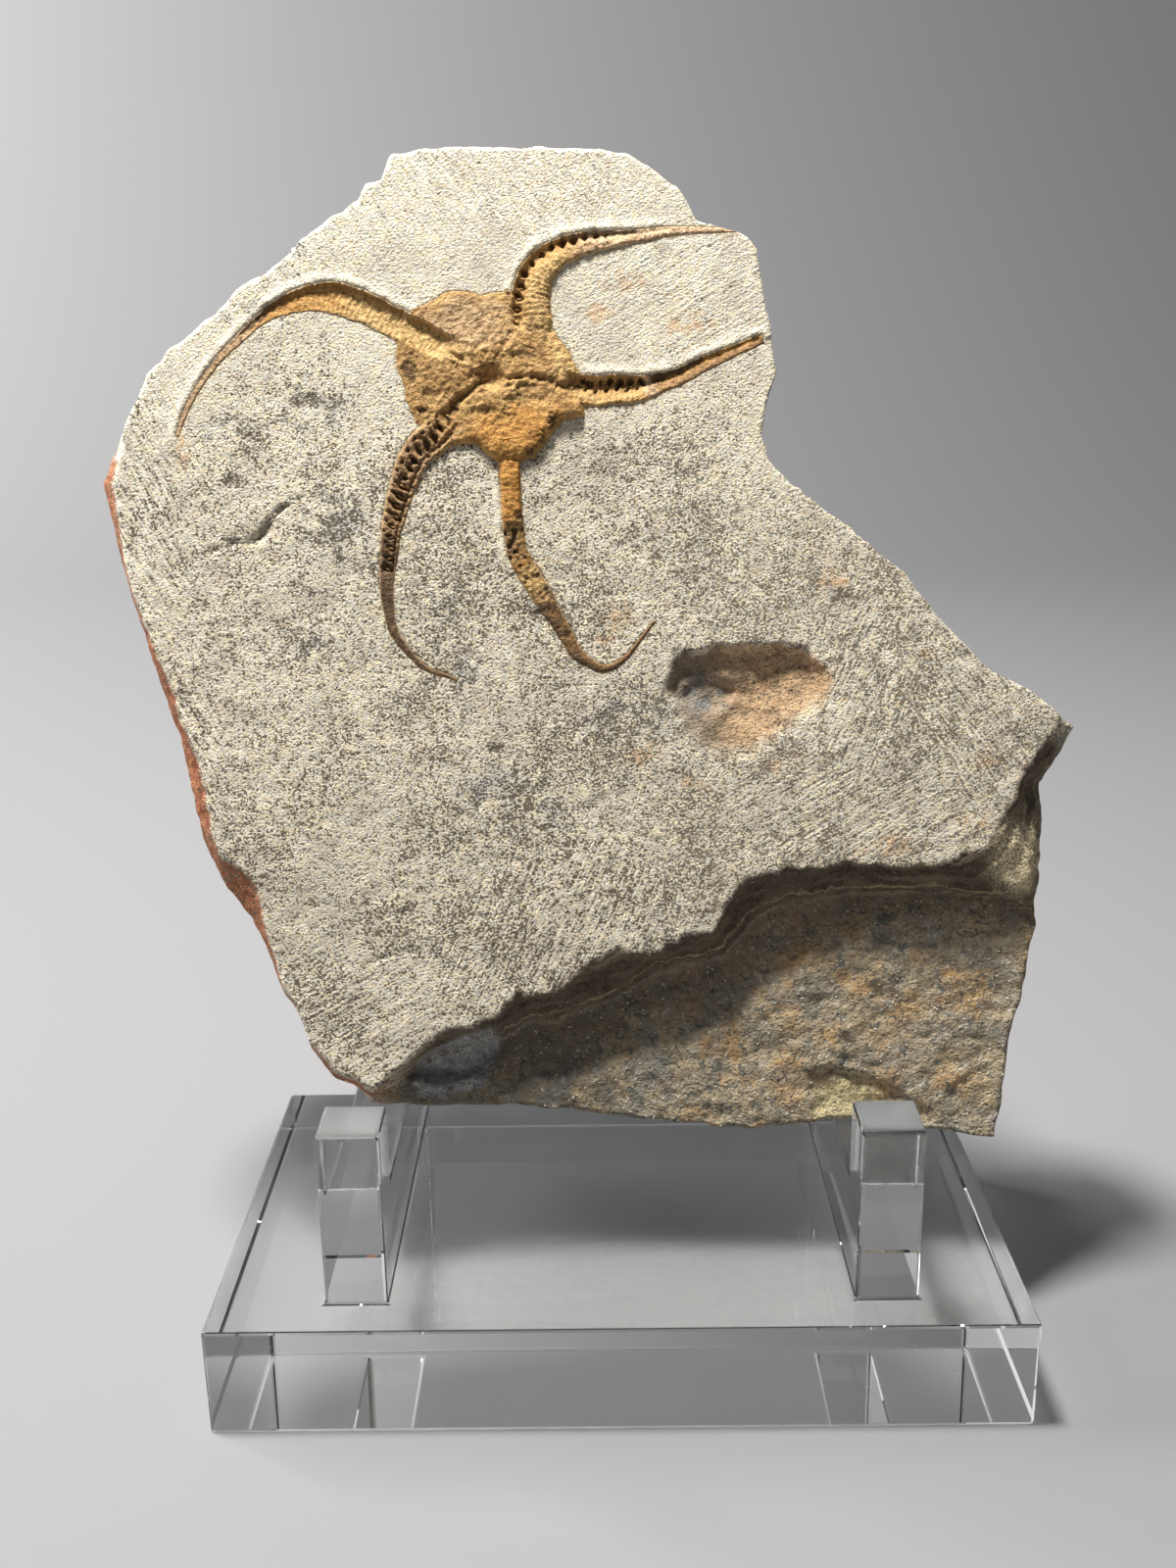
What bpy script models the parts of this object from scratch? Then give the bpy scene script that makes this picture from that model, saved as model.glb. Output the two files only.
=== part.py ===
"""A fossil brittle star in its sandstone slab, leaning in the notches of a clear acrylic stand.

Frame: metres, +Z up, +X to the right, the viewer on the -Y side. The origin is the centre of the underside of the
stand's base. The slab and the star are drawn flat, in the slab's own frame: x to the right, y up the slab and z out
of its face, with z = 0 on the front of the lower layer. One empty leans that frame back into the stand.
"""

import math

import bmesh
import bpy
from mathutils import Matrix, Vector, noise
from mathutils.geometry import delaunay_2d_cdt

MM = 0.001
CLEARANCE = 0.3 * MM  # between neighbouring pieces

# ---------------------------------------------------------------- the stand
BASE_WIDTH = 105.0 * MM
BASE_DEPTH = 60.0 * MM
BASE_THICKNESS = 15.0 * MM
SHEET = 8.0 * MM  # acrylic sheet that both brackets are cut from
BRACKET_X = {"left": -33.7 * MM, "right": 34.1 * MM}
POST_FRONT = -24.6 * MM
POST_DEPTH = 8.3 * MM
POST_RISE = 24.0 * MM  # above the base
NOTCH_RISE = 13.4 * MM  # notch floor above the base
UPRIGHT_BACK = 28.4 * MM
UPRIGHT_RISE = 58.0 * MM  # above the base
EDGE_BREAK = 0.5 * MM  # polished chamfer along the acrylic's edges

# ---------------------------------------------------------------- the slab
LEAN = math.radians(15.0)
SLAB_FRONT = -3.8 * MM  # y of the lower layer's front where it meets the notch floor
UPPER_LAYER = 4.5 * MM  # the layer with the fossil, in front of the lower one
BAND_LEVEL = 2.0 * MM  # thin bed halfway down the broken ledge
CRUST_LEVEL = -6.0 * MM
BACK_LEVEL = -12.4 * MM
SLAB_BACK = -13.5 * MM
OUTLINE_HUB = (0.0, 65.0)  # mm, the outlines are read as radii round this point
CLOSEST_CORNERS = math.radians(1.1)
WIDEST_STEP = math.radians(3.0)
FACE_SPACING = 7.5 * MM  # between the points of the slab's front and back faces
UNDULATION = 0.35 * MM
UNDULATION_SCALE = 24.0 * MM
EDGE_WEAR = 1.0  # mm, worn rounding round the top of the slab
BAND_WEAR = 0.4  # mm
TALUS = 1.2 * MM  # from the thin bed down to the foot of the ledge

# Outlines in millimetres in the slab's frame, clockwise.
TOP_EDGE = (
    (-65.3, 96.2), (-61.8, 103.2), (-59.1, 106.4), (-55.8, 108.3), (-52.4, 111.4), (-49.1, 114.6),
    (-45.2, 116.5), (-41.2, 120.2), (-36.0, 124.0), (-33.3, 125.5), (-32.0, 127.7), (-30.1, 128.3),
    (-28.7, 131.7), (-22.9, 132.3), (-12.6, 132.4), (-2.2, 132.0), (2.9, 131.3), (6.1, 129.3),
    (9.3, 127.1), (10.6, 125.2), (12.1, 122.6), (15.1, 121.7), (18.9, 120.4), (20.2, 118.7),
    (21.2, 112.9), (22.1, 107.8), (22.9, 102.4), (21.3, 97.6), (21.0, 93.7), (21.9, 90.9),
    (23.2, 89.2), (27.1, 85.9), (32.3, 81.9), (36.8, 78.0), (40.7, 74.7), (43.9, 70.1),
    (47.2, 66.2), (51.7, 61.6), (56.9, 58.9), (61.1, 55.3),
)
LEDGE = (
    (59.6, 54.0), (57.5, 51.0), (54.4, 46.1), (52.3, 42.0), (50.7, 38.6), (45.0, 36.0), (39.1, 35.5),
    (31.5, 36.1), (23.0, 35.3), (16.9, 33.5), (14.3, 29.2), (13.6, 27.5), (9.0, 26.2), (4.4, 24.0),
    (0.1, 24.7), (-3.8, 22.5), (-8.2, 19.1), (-13.6, 18.7), (-16.6, 15.1), (-23.5, 13.8),
    (-28.6, 9.8), (-33.0, 5.7),
)
FACE_LEFT = (
    (-35.0, 7.3), (-38.1, 8.7), (-39.9, 10.6), (-41.6, 13.0), (-43.3, 17.7), (-44.6, 19.6),
    (-46.3, 25.4), (-47.1, 29.3), (-47.9, 33.6), (-49.5, 36.2), (-53.0, 37.9), (-54.1, 42.7),
    (-55.3, 50.5), (-57.1, 54.7), (-58.9, 60.5), (-62.2, 68.9), (-64.6, 75.8), (-66.0, 87.9),
)
THIN_BED = (
    (62.6, 53.9), (61.0, 51.2), (57.4, 46.7), (57.5, 41.0), (57.2, 37.5), (56.6, 31.9), (52.1, 31.2),
    (44.6, 32.4), (39.0, 32.4), (31.6, 32.7), (20.6, 30.7), (18.2, 29.2), (14.6, 24.2), (9.5, 23.0),
    (5.2, 22.2), (2.0, 20.0), (-2.0, 17.5), (-8.0, 15.9), (-12.4, 15.0), (-17.0, 12.2),
    (-24.5, 10.8), (-29.6, 6.8), (-33.4, 4.4),
)
LOWER_EDGE = (
    (63.0, 53.7), (61.6, 51.0), (58.5, 46.5), (58.7, 40.9), (58.5, 37.4), (58.2, 30.9), (57.8, 30.0),
    (58.0, 26.7), (56.8, 22.0), (56.1, 16.9), (54.2, 11.1), (53.1, 2.0), (52.1, -2.6), (48.1, -2.1),
    (41.5, -0.9), (39.4, 0.0), (28.8, 0.0), (25.0, -0.4), (18.6, -1.1), (8.9, 0.0), (2.4, 0.6),
    (-4.1, 1.6), (-14.3, 2.7), (-25.6, 2.7), (-33.6, 3.2),
)
CRUST_LEFT = (
    (-36.5, 5.5), (-38.9, 6.6), (-40.5, 8.1), (-42.1, 10.5), (-43.9, 15.7), (-45.6, 18.0),
    (-47.2, 22.0), (-48.4, 25.5), (-50.1, 28.9), (-52.9, 32.5), (-55.6, 37.3), (-57.2, 42.4),
    (-58.1, 47.7), (-59.6, 54.7), (-61.6, 60.0), (-64.0, 68.3), (-66.3, 76.0), (-67.2, 80.0),
    (-68.9, 88.6), (-67.9, 91.8),
)
MIDDLE_FOOT = (
    (62.0, 53.4), (58.2, 46.5), (58.2, 37.4), (57.5, 26.7), (55.6, 16.9), (53.8, 11.1), (52.6, 3.2),
    (51.4, -0.3), (47.6, 0.2), (41.5, 1.0), (39.6, 1.7), (28.6, 1.7), (24.0, 1.4), (8.9, 1.5),
    (0.0, 1.6), (-14.0, 1.9), (-28.4, 1.7), (-34.8, 1.7),
)
BACK_FOOT = (
    (59.5, 52.6), (56.6, 46.0), (56.4, 30.0), (54.6, 20.0), (52.6, 10.0), (50.2, 4.2), (40.0, 3.5),
    (27.0, 3.5), (10.0, 3.7), (-14.0, 3.6), (-27.0, 3.5), (-33.6, 3.6),
)
MIDDLE_WEAR = 0.5  # mm
BACK_WEAR = 1.8  # mm
BACK_ROUNDING = 1.2 * MM

# An oval hollow where a nodule fell out, a short crack, and a spalled arch on the lower layer.
HOLLOW = dict(
    centre=(18.3, 59.4), radii=(12.2, 7.4, 1.5), turn=math.radians(10.0), level=UPPER_LAYER + 0.1 * MM)
SPALL = dict(centre=(35.0, -1.0), radii=(11.5, 9.0, 0.9), turn=math.radians(-8.0), level=0.13 * MM)
CRACK = ((-53.2, 78.7), (-50.7, 80.2), (-47.2, 80.1), (-45.3, 82.1), (-44.1, 84.0), (-42.1, 85.3))
CRACK_WIDTH = 1.0 * MM

# ---------------------------------------------------------------- the star
STAR_DEPTH = 1.8 * MM  # its underside, below the slab's face
PLATE_PITCH = 1.8 * MM  # length of one joint of an arm
FULL_ARM = 4.5  # mm, width at which an arm has its full relief
DISC_HUB = (-15.4, 101.2)
DISC_EDGE = (
    (-25.6, 110.2), (-23.2, 111.3), (-21.3, 112.4), (-18.8, 112.7), (-16.4, 112.1), (-12.8, 112.6),
    (-8.2, 111.3), (-7.7, 107.9), (-5.6, 105.4), (-4.3, 102.7), (-3.4, 101.2), (-3.2, 96.0),
    (-6.0, 95.4), (-7.9, 93.1), (-9.7, 90.7), (-11.5, 90.0), (-14.7, 90.1), (-15.7, 90.7),
    (-17.7, 92.6), (-19.4, 92.6), (-21.6, 92.1), (-24.8, 94.3), (-26.5, 97.3), (-26.9, 99.8),
    (-27.9, 102.8), (-27.9, 105.7), (-28.9, 107.0),
)
DISC_STEP = math.radians(9.0)
# Rings of the disc from its edge to the mouth: share of the radius, and height over the slab's face in mm.
DISC_RINGS = ((1.0, 0.15), (0.86, 0.65), (0.6, 0.55), (0.36, 0.75), (0.17, 0.1))
MOUTH_LEVEL = -0.7

# Each arm: (x, y, width) in mm from the disc out, and the heights in mm across it, from the left of an outward
# walker to the right: at its plates, and at the pits between them.
ARMS = {
    "upper_right": dict(
        route=((-11.4, 105.5, 4.6), (-10.4, 108.3, 5.0), (-10.5, 111.5, 4.6), (-9.6, 114.7, 4.0),
               (-7.6, 116.9, 3.4), (-4.4, 118.4, 2.9), (-1.1, 118.9, 2.5), (4.1, 119.4, 1.6),
               (9.2, 120.0, 1.05), (14.4, 120.0, 0.65), (18.4, 120.0, 0.35)),
        plates=(0.2, -0.3, 0.2, 0.5, 0.3), pits=(0.1, -1.2, 0.0, 0.4, 0.2)),
    "right": dict(
        route=((-6.9, 100.2, 4.4), (-2.4, 99.3, 4.2), (1.0, 99.4, 4.0), (4.2, 99.5, 3.5),
               (7.0, 100.3, 2.6), (9.2, 100.9, 2.2), (12.6, 102.6, 1.9), (15.8, 103.9, 1.6),
               (19.2, 105.3, 1.3), (20.6, 105.8, 1.1)),
        plates=(0.3, -0.7, -0.5, 0.1, 0.1), pits=(0.1, -1.2, -1.0, -0.1, 0.0)),
    "lower_left": dict(
        route=((-19.8, 97.2, 4.6), (-23.0, 93.7, 4.8), (-25.5, 91.3, 4.2), (-27.0, 88.3, 3.8),
               (-28.1, 84.8, 3.2), (-29.0, 81.3, 2.8), (-29.4, 77.8, 2.4), (-29.8, 74.3, 1.9),
               (-29.6, 71.0, 1.5), (-29.0, 68.0, 1.2), (-27.4, 65.5, 0.9), (-25.0, 63.1, 0.7),
               (-22.0, 61.9, 0.5), (-20.6, 61.3, 0.35)),
        plates=(0.3, 0.7, 0.5, 0.7, 0.2), pits=(0.2, 0.2, -0.6, 0.1, 0.0)),
    "bottom": dict(
        route=((-13.6, 93.0, 2.8), (-13.2, 90.4, 2.9), (-13.1, 87.0, 2.7), (-13.0, 83.7, 2.7),
               (-12.6, 80.1, 2.8), (-12.1, 77.7, 2.9), (-10.5, 74.7, 3.0), (-9.1, 72.4, 2.7),
               (-7.6, 69.9, 2.2), (-6.1, 67.3, 2.0), (-4.7, 64.8, 1.7), (-2.9, 63.4, 1.3),
               (-1.2, 62.6, 1.0), (0.7, 63.1, 0.8), (2.3, 64.4, 0.6), (4.0, 66.5, 0.45), (5.8, 68.8, 0.3)),
        plates=(0.6, 1.0, 1.1, 0.9, 0.3), pits=(0.5, 0.8, 0.9, 0.7, 0.2)),
    "upper_left": dict(
        route=((-19.4, 104.0, 3.9), (-23.7, 106.4, 4.0), (-28.7, 108.9, 4.1), (-32.6, 110.8, 4.3),
               (-36.6, 112.0, 4.1), (-40.5, 111.7, 3.0), (-44.0, 110.4, 2.2), (-46.5, 108.8, 1.6),
               (-48.7, 106.8, 1.3), (-51.2, 104.4, 1.2), (-53.2, 102.0, 1.0), (-55.2, 99.0, 0.85),
               (-56.6, 96.1, 0.65), (-57.3, 94.1, 0.4)),
        plates=(0.2, 0.0, -0.7, -0.9, 0.1), pits=(0.1, -0.1, -0.9, -1.1, 0.0)),
}
ARM_STATIONS = (-1.0, -0.5, 0.0, 0.5, 1.0)  # places across an arm, as shares of its half width

# Base colour, roughness and transmission of each finish.
FINISHES = {
    "pale_sandstone": ((0.60, 0.55, 0.44), 0.92, 0.0),
    "iron_stained_fossil": ((0.36, 0.21, 0.08), 0.85, 0.0),
    "clear_acrylic_base": ((0.95, 0.97, 0.97), 0.04, 1.0),
    "clear_acrylic_left": ((0.95, 0.97, 0.97), 0.04, 1.0),
    "clear_acrylic_right": ((0.95, 0.97, 0.97), 0.04, 1.0),
}
ACRYLIC_IOR = 1.49


# ---------------------------------------------------------------- helpers
def clear_scene():
    for obj in list(bpy.data.objects):
        bpy.data.objects.remove(obj, do_unlink=True)


def new_collection(name):
    collection = bpy.data.collections.new(name)
    bpy.context.scene.collection.children.link(collection)
    return collection


def new_object(name, bm, collection):
    """An object from a bmesh, its faces turned outward."""
    bmesh.ops.recalc_face_normals(bm, faces=bm.faces)
    mesh = bpy.data.meshes.new(name)
    bm.to_mesh(mesh)
    bm.free()
    obj = bpy.data.objects.new(name, mesh)
    collection.objects.link(obj)
    return obj


def finish(obj, finish_name):
    colour, roughness, transmission = FINISHES[finish_name]
    material = bpy.data.materials.new(finish_name)
    material.use_nodes = True
    shader = material.node_tree.nodes["Principled BSDF"]
    shader.inputs["Base Color"].default_value = (*colour, 1.0)
    shader.inputs["Roughness"].default_value = roughness
    shader.inputs["Metallic"].default_value = 0.0
    shader.inputs["Transmission Weight"].default_value = transmission
    if transmission:
        shader.inputs["IOR"].default_value = ACRYLIC_IOR
    obj.data.materials.clear()
    obj.data.materials.append(material)


def cutter(obj):
    obj.hide_render = True
    obj.display_type = "WIRE"
    return obj


def combine(obj, other, operation):
    modifier = obj.modifiers.new(f"{operation.lower()}_{other.name}", "BOOLEAN")
    modifier.operation = operation
    modifier.solver = "EXACT"
    modifier.object = other


def curve_as_mesh(curve_object, collection):
    """The curve's surface as a closed mesh object in the same place."""
    bpy.context.view_layer.update()
    evaluated = curve_object.evaluated_get(bpy.context.evaluated_depsgraph_get())
    mesh = bpy.data.meshes.new_from_object(evaluated)
    bm = bmesh.new()
    bm.from_mesh(mesh)
    bmesh.ops.remove_doubles(bm, verts=bm.verts, dist=0.001 * MM)
    name = curve_object.name
    place = curve_object.matrix_world.copy()
    bpy.data.objects.remove(curve_object)
    obj = new_object(name, bm, collection)
    obj.matrix_world = place
    return obj


def spline_curve(name, points, collection, closed):
    data = bpy.data.curves.new(name, "CURVE")
    spline = data.splines.new("POLY")
    spline.points.add(len(points) - 1)
    for target, point in zip(spline.points, points):
        target.co = (*point, 1.0)
    spline.use_cyclic_u = closed
    obj = bpy.data.objects.new(name, data)
    collection.objects.link(obj)
    return obj


# ---------------------------------------------------------------- the stand
def break_edges(obj):
    """A small polished chamfer along the acrylic's sharp edges."""
    bevel = obj.modifiers.new("edge_break", "BEVEL")
    bevel.width = EDGE_BREAK
    bevel.segments = 2
    bevel.limit_method = "ANGLE"
    bevel.angle_limit = math.radians(30.0)


def make_base(collection):
    bpy.ops.mesh.primitive_cube_add(size=1.0)
    base = bpy.context.object
    for holder in list(base.users_collection):
        holder.objects.unlink(base)
    collection.objects.link(base)
    base.name = "stand_base"
    base.data.transform(Matrix.Diagonal((BASE_WIDTH, BASE_DEPTH, BASE_THICKNESS, 1.0)))
    base.location.z = BASE_THICKNESS / 2
    break_edges(base)
    finish(base, "clear_acrylic_base")


def bracket_profile():
    """The bracket seen from the side: y, z points from the foot of the post round to the back."""
    foot = BASE_THICKNESS + CLEARANCE
    floor = BASE_THICKNESS + NOTCH_RISE
    post_top = BASE_THICKNESS + POST_RISE
    top = BASE_THICKNESS + UPRIGHT_RISE
    thickness_of_slab = (CLEARANCE - SLAB_BACK) / math.cos(LEAN)
    rest = SLAB_FRONT + thickness_of_slab  # the upright's front where it meets the notch floor
    return (
        (POST_FRONT, foot),
        (UPRIGHT_BACK, foot),
        (UPRIGHT_BACK, top),
        (rest + (top - floor) * math.tan(LEAN), top),
        (rest, floor),
        (POST_FRONT + POST_DEPTH, floor),
        (POST_FRONT + POST_DEPTH, post_top),
        (POST_FRONT, post_top),
    )


def make_bracket(side, collection):
    outline = [(y, z, 0.0) for y, z in bracket_profile()]
    flat = spline_curve(f"stand_bracket_{side}", outline, collection, True)
    flat.data.dimensions = "2D"
    flat.data.fill_mode = "BOTH"
    flat.data.extrude = SHEET / 2
    bracket = curve_as_mesh(flat, collection)
    bracket.rotation_euler = (math.radians(90.0), 0.0, math.radians(90.0))
    bracket.location.x = BRACKET_X[side]
    break_edges(bracket)
    finish(bracket, f"clear_acrylic_{side}")


# ---------------------------------------------------------------- the slab
def face_height(x, y):
    """Height of the slab's worked face at a point, with its low natural waves."""
    place = Vector((x, y, 0.0)) / UNDULATION_SCALE
    return UPPER_LAYER + UNDULATION * noise.noise(place)


def worn(outline, wear):
    """The outline pulled in towards the hub by so many millimetres."""
    hub = Vector(OUTLINE_HUB)
    points = []
    for x, y in outline:
        reach = Vector((x, y)) - hub
        points.append(tuple(hub + reach * (1.0 - wear / reach.length)))
    return tuple(points)


def polar(outline, hub):
    """Sorted angle and radius of each outline point round the hub."""
    reaches = [(x - hub[0], y - hub[1]) for x, y in outline]
    return sorted((math.atan2(y, x), math.hypot(x, y)) for x, y in reaches)


def ring_angles(outlines, hub, closest, widest):
    """Angles that keep the corners of all the outlines, no closer and no wider apart than asked."""
    corners = sorted(angle for outline in outlines for angle, _ in polar(outline, hub))
    kept = [corners[0]]
    for angle in corners[1:]:
        if angle - kept[-1] >= closest:
            kept.append(angle)
    if kept[0] + math.tau - kept[-1] < closest:
        kept.pop()
    found = []
    for a, b in zip(kept, kept[1:] + [kept[0] + math.tau]):
        pieces = math.ceil((b - a) / widest)
        found.extend(a + (b - a) * piece / pieces for piece in range(pieces))
    return found


def radii(outline, angles, hub):
    """The outline's radius round the hub, in metres, at these angles."""
    around = polar(outline, hub)
    before, after = around[-1], around[0]
    points = [(before[0] - math.tau, before[1])] + around + [(after[0] + math.tau, after[1])]
    found = []
    for angle in angles:
        turned = angle - math.tau if angle > after[0] + math.tau else angle
        for (a, ra), (b, rb) in zip(points, points[1:]):
            if a <= turned <= b:
                # A straight edge between the two points, in polar form.
                share = math.sin(turned - a) / rb + math.sin(b - turned) / ra
                found.append(math.sin(b - a) / share * MM)
                break
    return found


def ring_points(angles, ring_radii, height, hub):
    """A closed ring at these radii. The height is a level, or a function of the place."""
    points = []
    for angle, radius in zip(angles, ring_radii):
        x = hub[0] * MM + radius * math.cos(angle)
        y = hub[1] * MM + radius * math.sin(angle)
        points.append(Vector((x, y, height(x, y) if callable(height) else height)))
    return points


def join_rings(bm, lower, upper):
    count = len(lower)
    for i in range(count):
        j = (i + 1) % count
        bm.faces.new((lower[i], lower[j], upper[j], upper[i]))


def cap_ring(bm, ring, height):
    """Fills a ring with triangles over a grid of inner points, which follow the given height."""
    flat = [Vector((v.co.x, v.co.y)) for v in ring]
    count = len(flat)
    low_x, high_x = min(p.x for p in flat), max(p.x for p in flat)
    low_y, high_y = min(p.y for p in flat), max(p.y for p in flat)
    inner = []
    rows = int((high_y - low_y) / FACE_SPACING)
    columns = int((high_x - low_x) / FACE_SPACING)
    for row in range(1, rows + 1):
        for column in range(columns + 1):
            shift = 0.5 * (row % 2)
            point = Vector((low_x + (column + shift) * FACE_SPACING, low_y + row * FACE_SPACING))
            if inside(point, flat) and min((point - p).length for p in flat) > 0.6 * FACE_SPACING:
                inner.append(point)
    edges = [(i, (i + 1) % count) for i in range(count)]
    points, _, faces, *_ = delaunay_2d_cdt(flat + inner, edges, [], 1, 1e-7)
    verts = list(ring)
    for point in points[count:]:
        verts.append(bm.verts.new((point.x, point.y, height(point.x, point.y))))
    for face in faces:
        bm.faces.new([verts[i] for i in face])


def inside(point, polygon):
    crossings = 0
    for a, b in zip(polygon, polygon[1:] + polygon[:1]):
        if (a.y > point.y) != (b.y > point.y):
            if point.x < a.x + (point.y - a.y) * (b.x - a.x) / (b.y - a.y):
                crossings += 1
    return crossings % 2 == 1


def ellipsoid_cutter(name, shape, collection):
    bm = bmesh.new()
    bmesh.ops.create_icosphere(bm, subdivisions=3, radius=1.0)
    size = Matrix.Diagonal((*(r * MM for r in shape["radii"]), 1.0))
    place = Matrix.Translation((shape["centre"][0] * MM, shape["centre"][1] * MM, shape["level"]))
    bm.transform(place @ Matrix.Rotation(shape["turn"], 4, "Z") @ size)
    return cutter(new_object(name, bm, collection))


def crack_cutter(collection):
    sink = CRACK_WIDTH / 6
    points = [(x * MM, y * MM, face_height(x * MM, y * MM) - sink) for x, y in CRACK]
    tube = spline_curve("crack", points, collection, False)
    tube.data.dimensions = "3D"
    tube.data.bevel_depth = CRACK_WIDTH / 2
    tube.data.bevel_resolution = 1
    tube.data.use_fill_caps = True
    return cutter(curve_as_mesh(tube, collection))


def make_slab(pose, parts, cutters):
    """A loft from the worked face, down the broken ledge to the lower layer, and round to the back."""
    face_edge = worn(TOP_EDGE, EDGE_WEAR) + LEDGE + FACE_LEFT
    lower_edge = TOP_EDGE + LOWER_EDGE + CRUST_LEFT
    angles = ring_angles((face_edge, lower_edge), OUTLINE_HUB, CLOSEST_CORNERS, WIDEST_STEP)

    def ring_radii(outline):
        return radii(outline, angles, OUTLINE_HUB)

    face = ring_radii(face_edge)
    band = ring_radii(worn(TOP_EDGE, BAND_WEAR) + THIN_BED + worn(CRUST_LEFT, 2 * BAND_WEAR))
    lower = ring_radii(lower_edge)
    foot = [min(b + TALUS, edge - BAND_WEAR * MM) for b, edge in zip(band, lower)]
    middle = ring_radii(worn(TOP_EDGE + CRUST_LEFT, MIDDLE_WEAR) + MIDDLE_FOOT)
    back = ring_radii(worn(TOP_EDGE + CRUST_LEFT, BACK_WEAR) + BACK_FOOT)
    rear = [radius - BACK_ROUNDING for radius in back]
    levels = (
        (face, face_height), (band, BAND_LEVEL), (foot, 0.0), (lower, 0.0),
        (middle, CRUST_LEVEL), (back, BACK_LEVEL), (rear, SLAB_BACK),
    )
    bm = bmesh.new()
    rings = []
    for radius, height in levels:
        points = ring_points(angles, radius, height, OUTLINE_HUB)
        rings.append([bm.verts.new(p) for p in points])
    for inner, outer in zip(rings, rings[1:]):
        join_rings(bm, inner, outer)
    cap_ring(bm, rings[0], face_height)
    cap_ring(bm, rings[-1], lambda x, y: SLAB_BACK)
    slab = new_object("sandstone_slab", bm, parts)
    slab.parent = pose
    tools = [
        star_pocket(pose, cutters),
        ellipsoid_cutter("hollow", HOLLOW, cutters),
        ellipsoid_cutter("spall", SPALL, cutters),
        crack_cutter(cutters),
    ]
    for tool in tools:
        tool.parent = pose
        combine(slab, tool, "DIFFERENCE")
    finish(slab, "pale_sandstone")


# ---------------------------------------------------------------- the star
def smooth_route(points):
    """Points one plate apart along a smooth curve through the given ones; each has x, y and a width."""
    knots = [Vector(p) for p in points]
    knots = [2 * knots[0] - knots[1]] + knots + [2 * knots[-1] - knots[-2]]
    fine = []
    for a, b, c, d in zip(knots, knots[1:], knots[2:], knots[3:]):
        for share in (0.0, 0.125, 0.25, 0.375, 0.5, 0.625, 0.75, 0.875):
            t, t2, t3 = share, share**2, share**3
            fine.append(0.5 * (2 * b + (c - a) * t + (2 * a - 5 * b + 4 * c - d) * t2
                               + (3 * b - a - 3 * c + d) * t3))
    fine.append(knots[-2])
    length = sum((q.xy - p.xy).length for p, q in zip(fine, fine[1:]))
    count = max(2, round(length * MM / PLATE_PITCH))
    stations, travelled, target = [fine[0]], 0.0, length / count
    for p, q in zip(fine, fine[1:]):
        step = (q.xy - p.xy).length
        while travelled + step >= target - 1e-6 and len(stations) < count:
            stations.append(p.lerp(q, (target - travelled) / step))
            target += length / count
        travelled += step
    stations.append(fine[-1])
    return stations


def arm_mesh(name, arm, collection, grow=0.0, top=None):
    """An arm as a loft of sections. With grow and a level top it is the blank that cuts the arm's pocket."""
    stations = smooth_route(arm["route"])
    bm = bmesh.new()
    rings = []
    for i, station in enumerate(stations):
        before, after = stations[max(i - 1, 0)], stations[min(i + 1, len(stations) - 1)]
        along = (after.xy - before.xy).normalized()
        centre = station.xy * MM
        if i == len(stations) - 1:
            centre += along * grow
        left = Vector((-along.y, along.x))
        half = station.z * MM / 2 + grow
        strength = min(1.0, station.z / FULL_ARM)
        heights = arm["pits"] if i % 2 else arm["plates"]
        ring = []
        for share, height in zip(ARM_STATIONS, heights):
            place = centre - left * half * share
            level = face_height(*place) + height * strength * MM if top is None else top
            ring.append(bm.verts.new((*place, level)))
        floor = UPPER_LAYER - STAR_DEPTH - grow
        ring.append(bm.verts.new((*(centre - left * half), floor)))
        ring.append(bm.verts.new((*(centre + left * half), floor)))
        rings.append(ring)
    for inner, outer in zip(rings, rings[1:]):
        join_rings(bm, inner, outer)
    bm.faces.new(rings[0])
    bm.faces.new(rings[-1])
    return new_object(name, bm, collection)


def disc_mesh(name, collection, grow=0.0, top=None):
    """The disc as rings from its edge in to the mouth, or with a level top the blank that cuts its pocket."""
    angles = ring_angles((DISC_EDGE,), DISC_HUB, CLOSEST_CORNERS, DISC_STEP)
    edge = [radius + grow for radius in radii(DISC_EDGE, angles, DISC_HUB)]
    bm = bmesh.new()

    def ring(share, height):
        return [bm.verts.new(p) for p in ring_points(angles, [r * share for r in edge], height, DISC_HUB)]

    floor = ring(1.0, UPPER_LAYER - STAR_DEPTH - grow)
    bm.faces.new(floor)
    if top is not None:
        lid = ring(1.0, top)
        join_rings(bm, floor, lid)
        bm.faces.new(lid)
        return new_object(name, bm, collection)
    rings = [floor]
    for share, rise in DISC_RINGS:
        rings.append(ring(share, lambda x, y, rise=rise: face_height(x, y) + rise * MM))
    for outer, inner in zip(rings, rings[1:]):
        join_rings(bm, outer, inner)
    mouth_x, mouth_y = (value * MM for value in DISC_HUB)
    mouth = bm.verts.new((mouth_x, mouth_y, face_height(mouth_x, mouth_y) + MOUTH_LEVEL * MM))
    for a, b in zip(rings[-1], rings[-1][1:] + rings[-1][:1]):
        bm.faces.new((a, b, mouth))
    return new_object(name, bm, collection)


def star_pocket(pose, cutters):
    """The star's own shape, larger by the clearance and open at the top, to cut its place in the slab."""
    top = UPPER_LAYER + STAR_DEPTH
    pocket = cutter(disc_mesh("pocket", cutters, CLEARANCE, top))
    for side, arm in ARMS.items():
        blank = cutter(arm_mesh(f"pocket_{side}", arm, cutters, CLEARANCE, top))
        blank.parent = pose
        combine(pocket, blank, "UNION")
    return pocket


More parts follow.
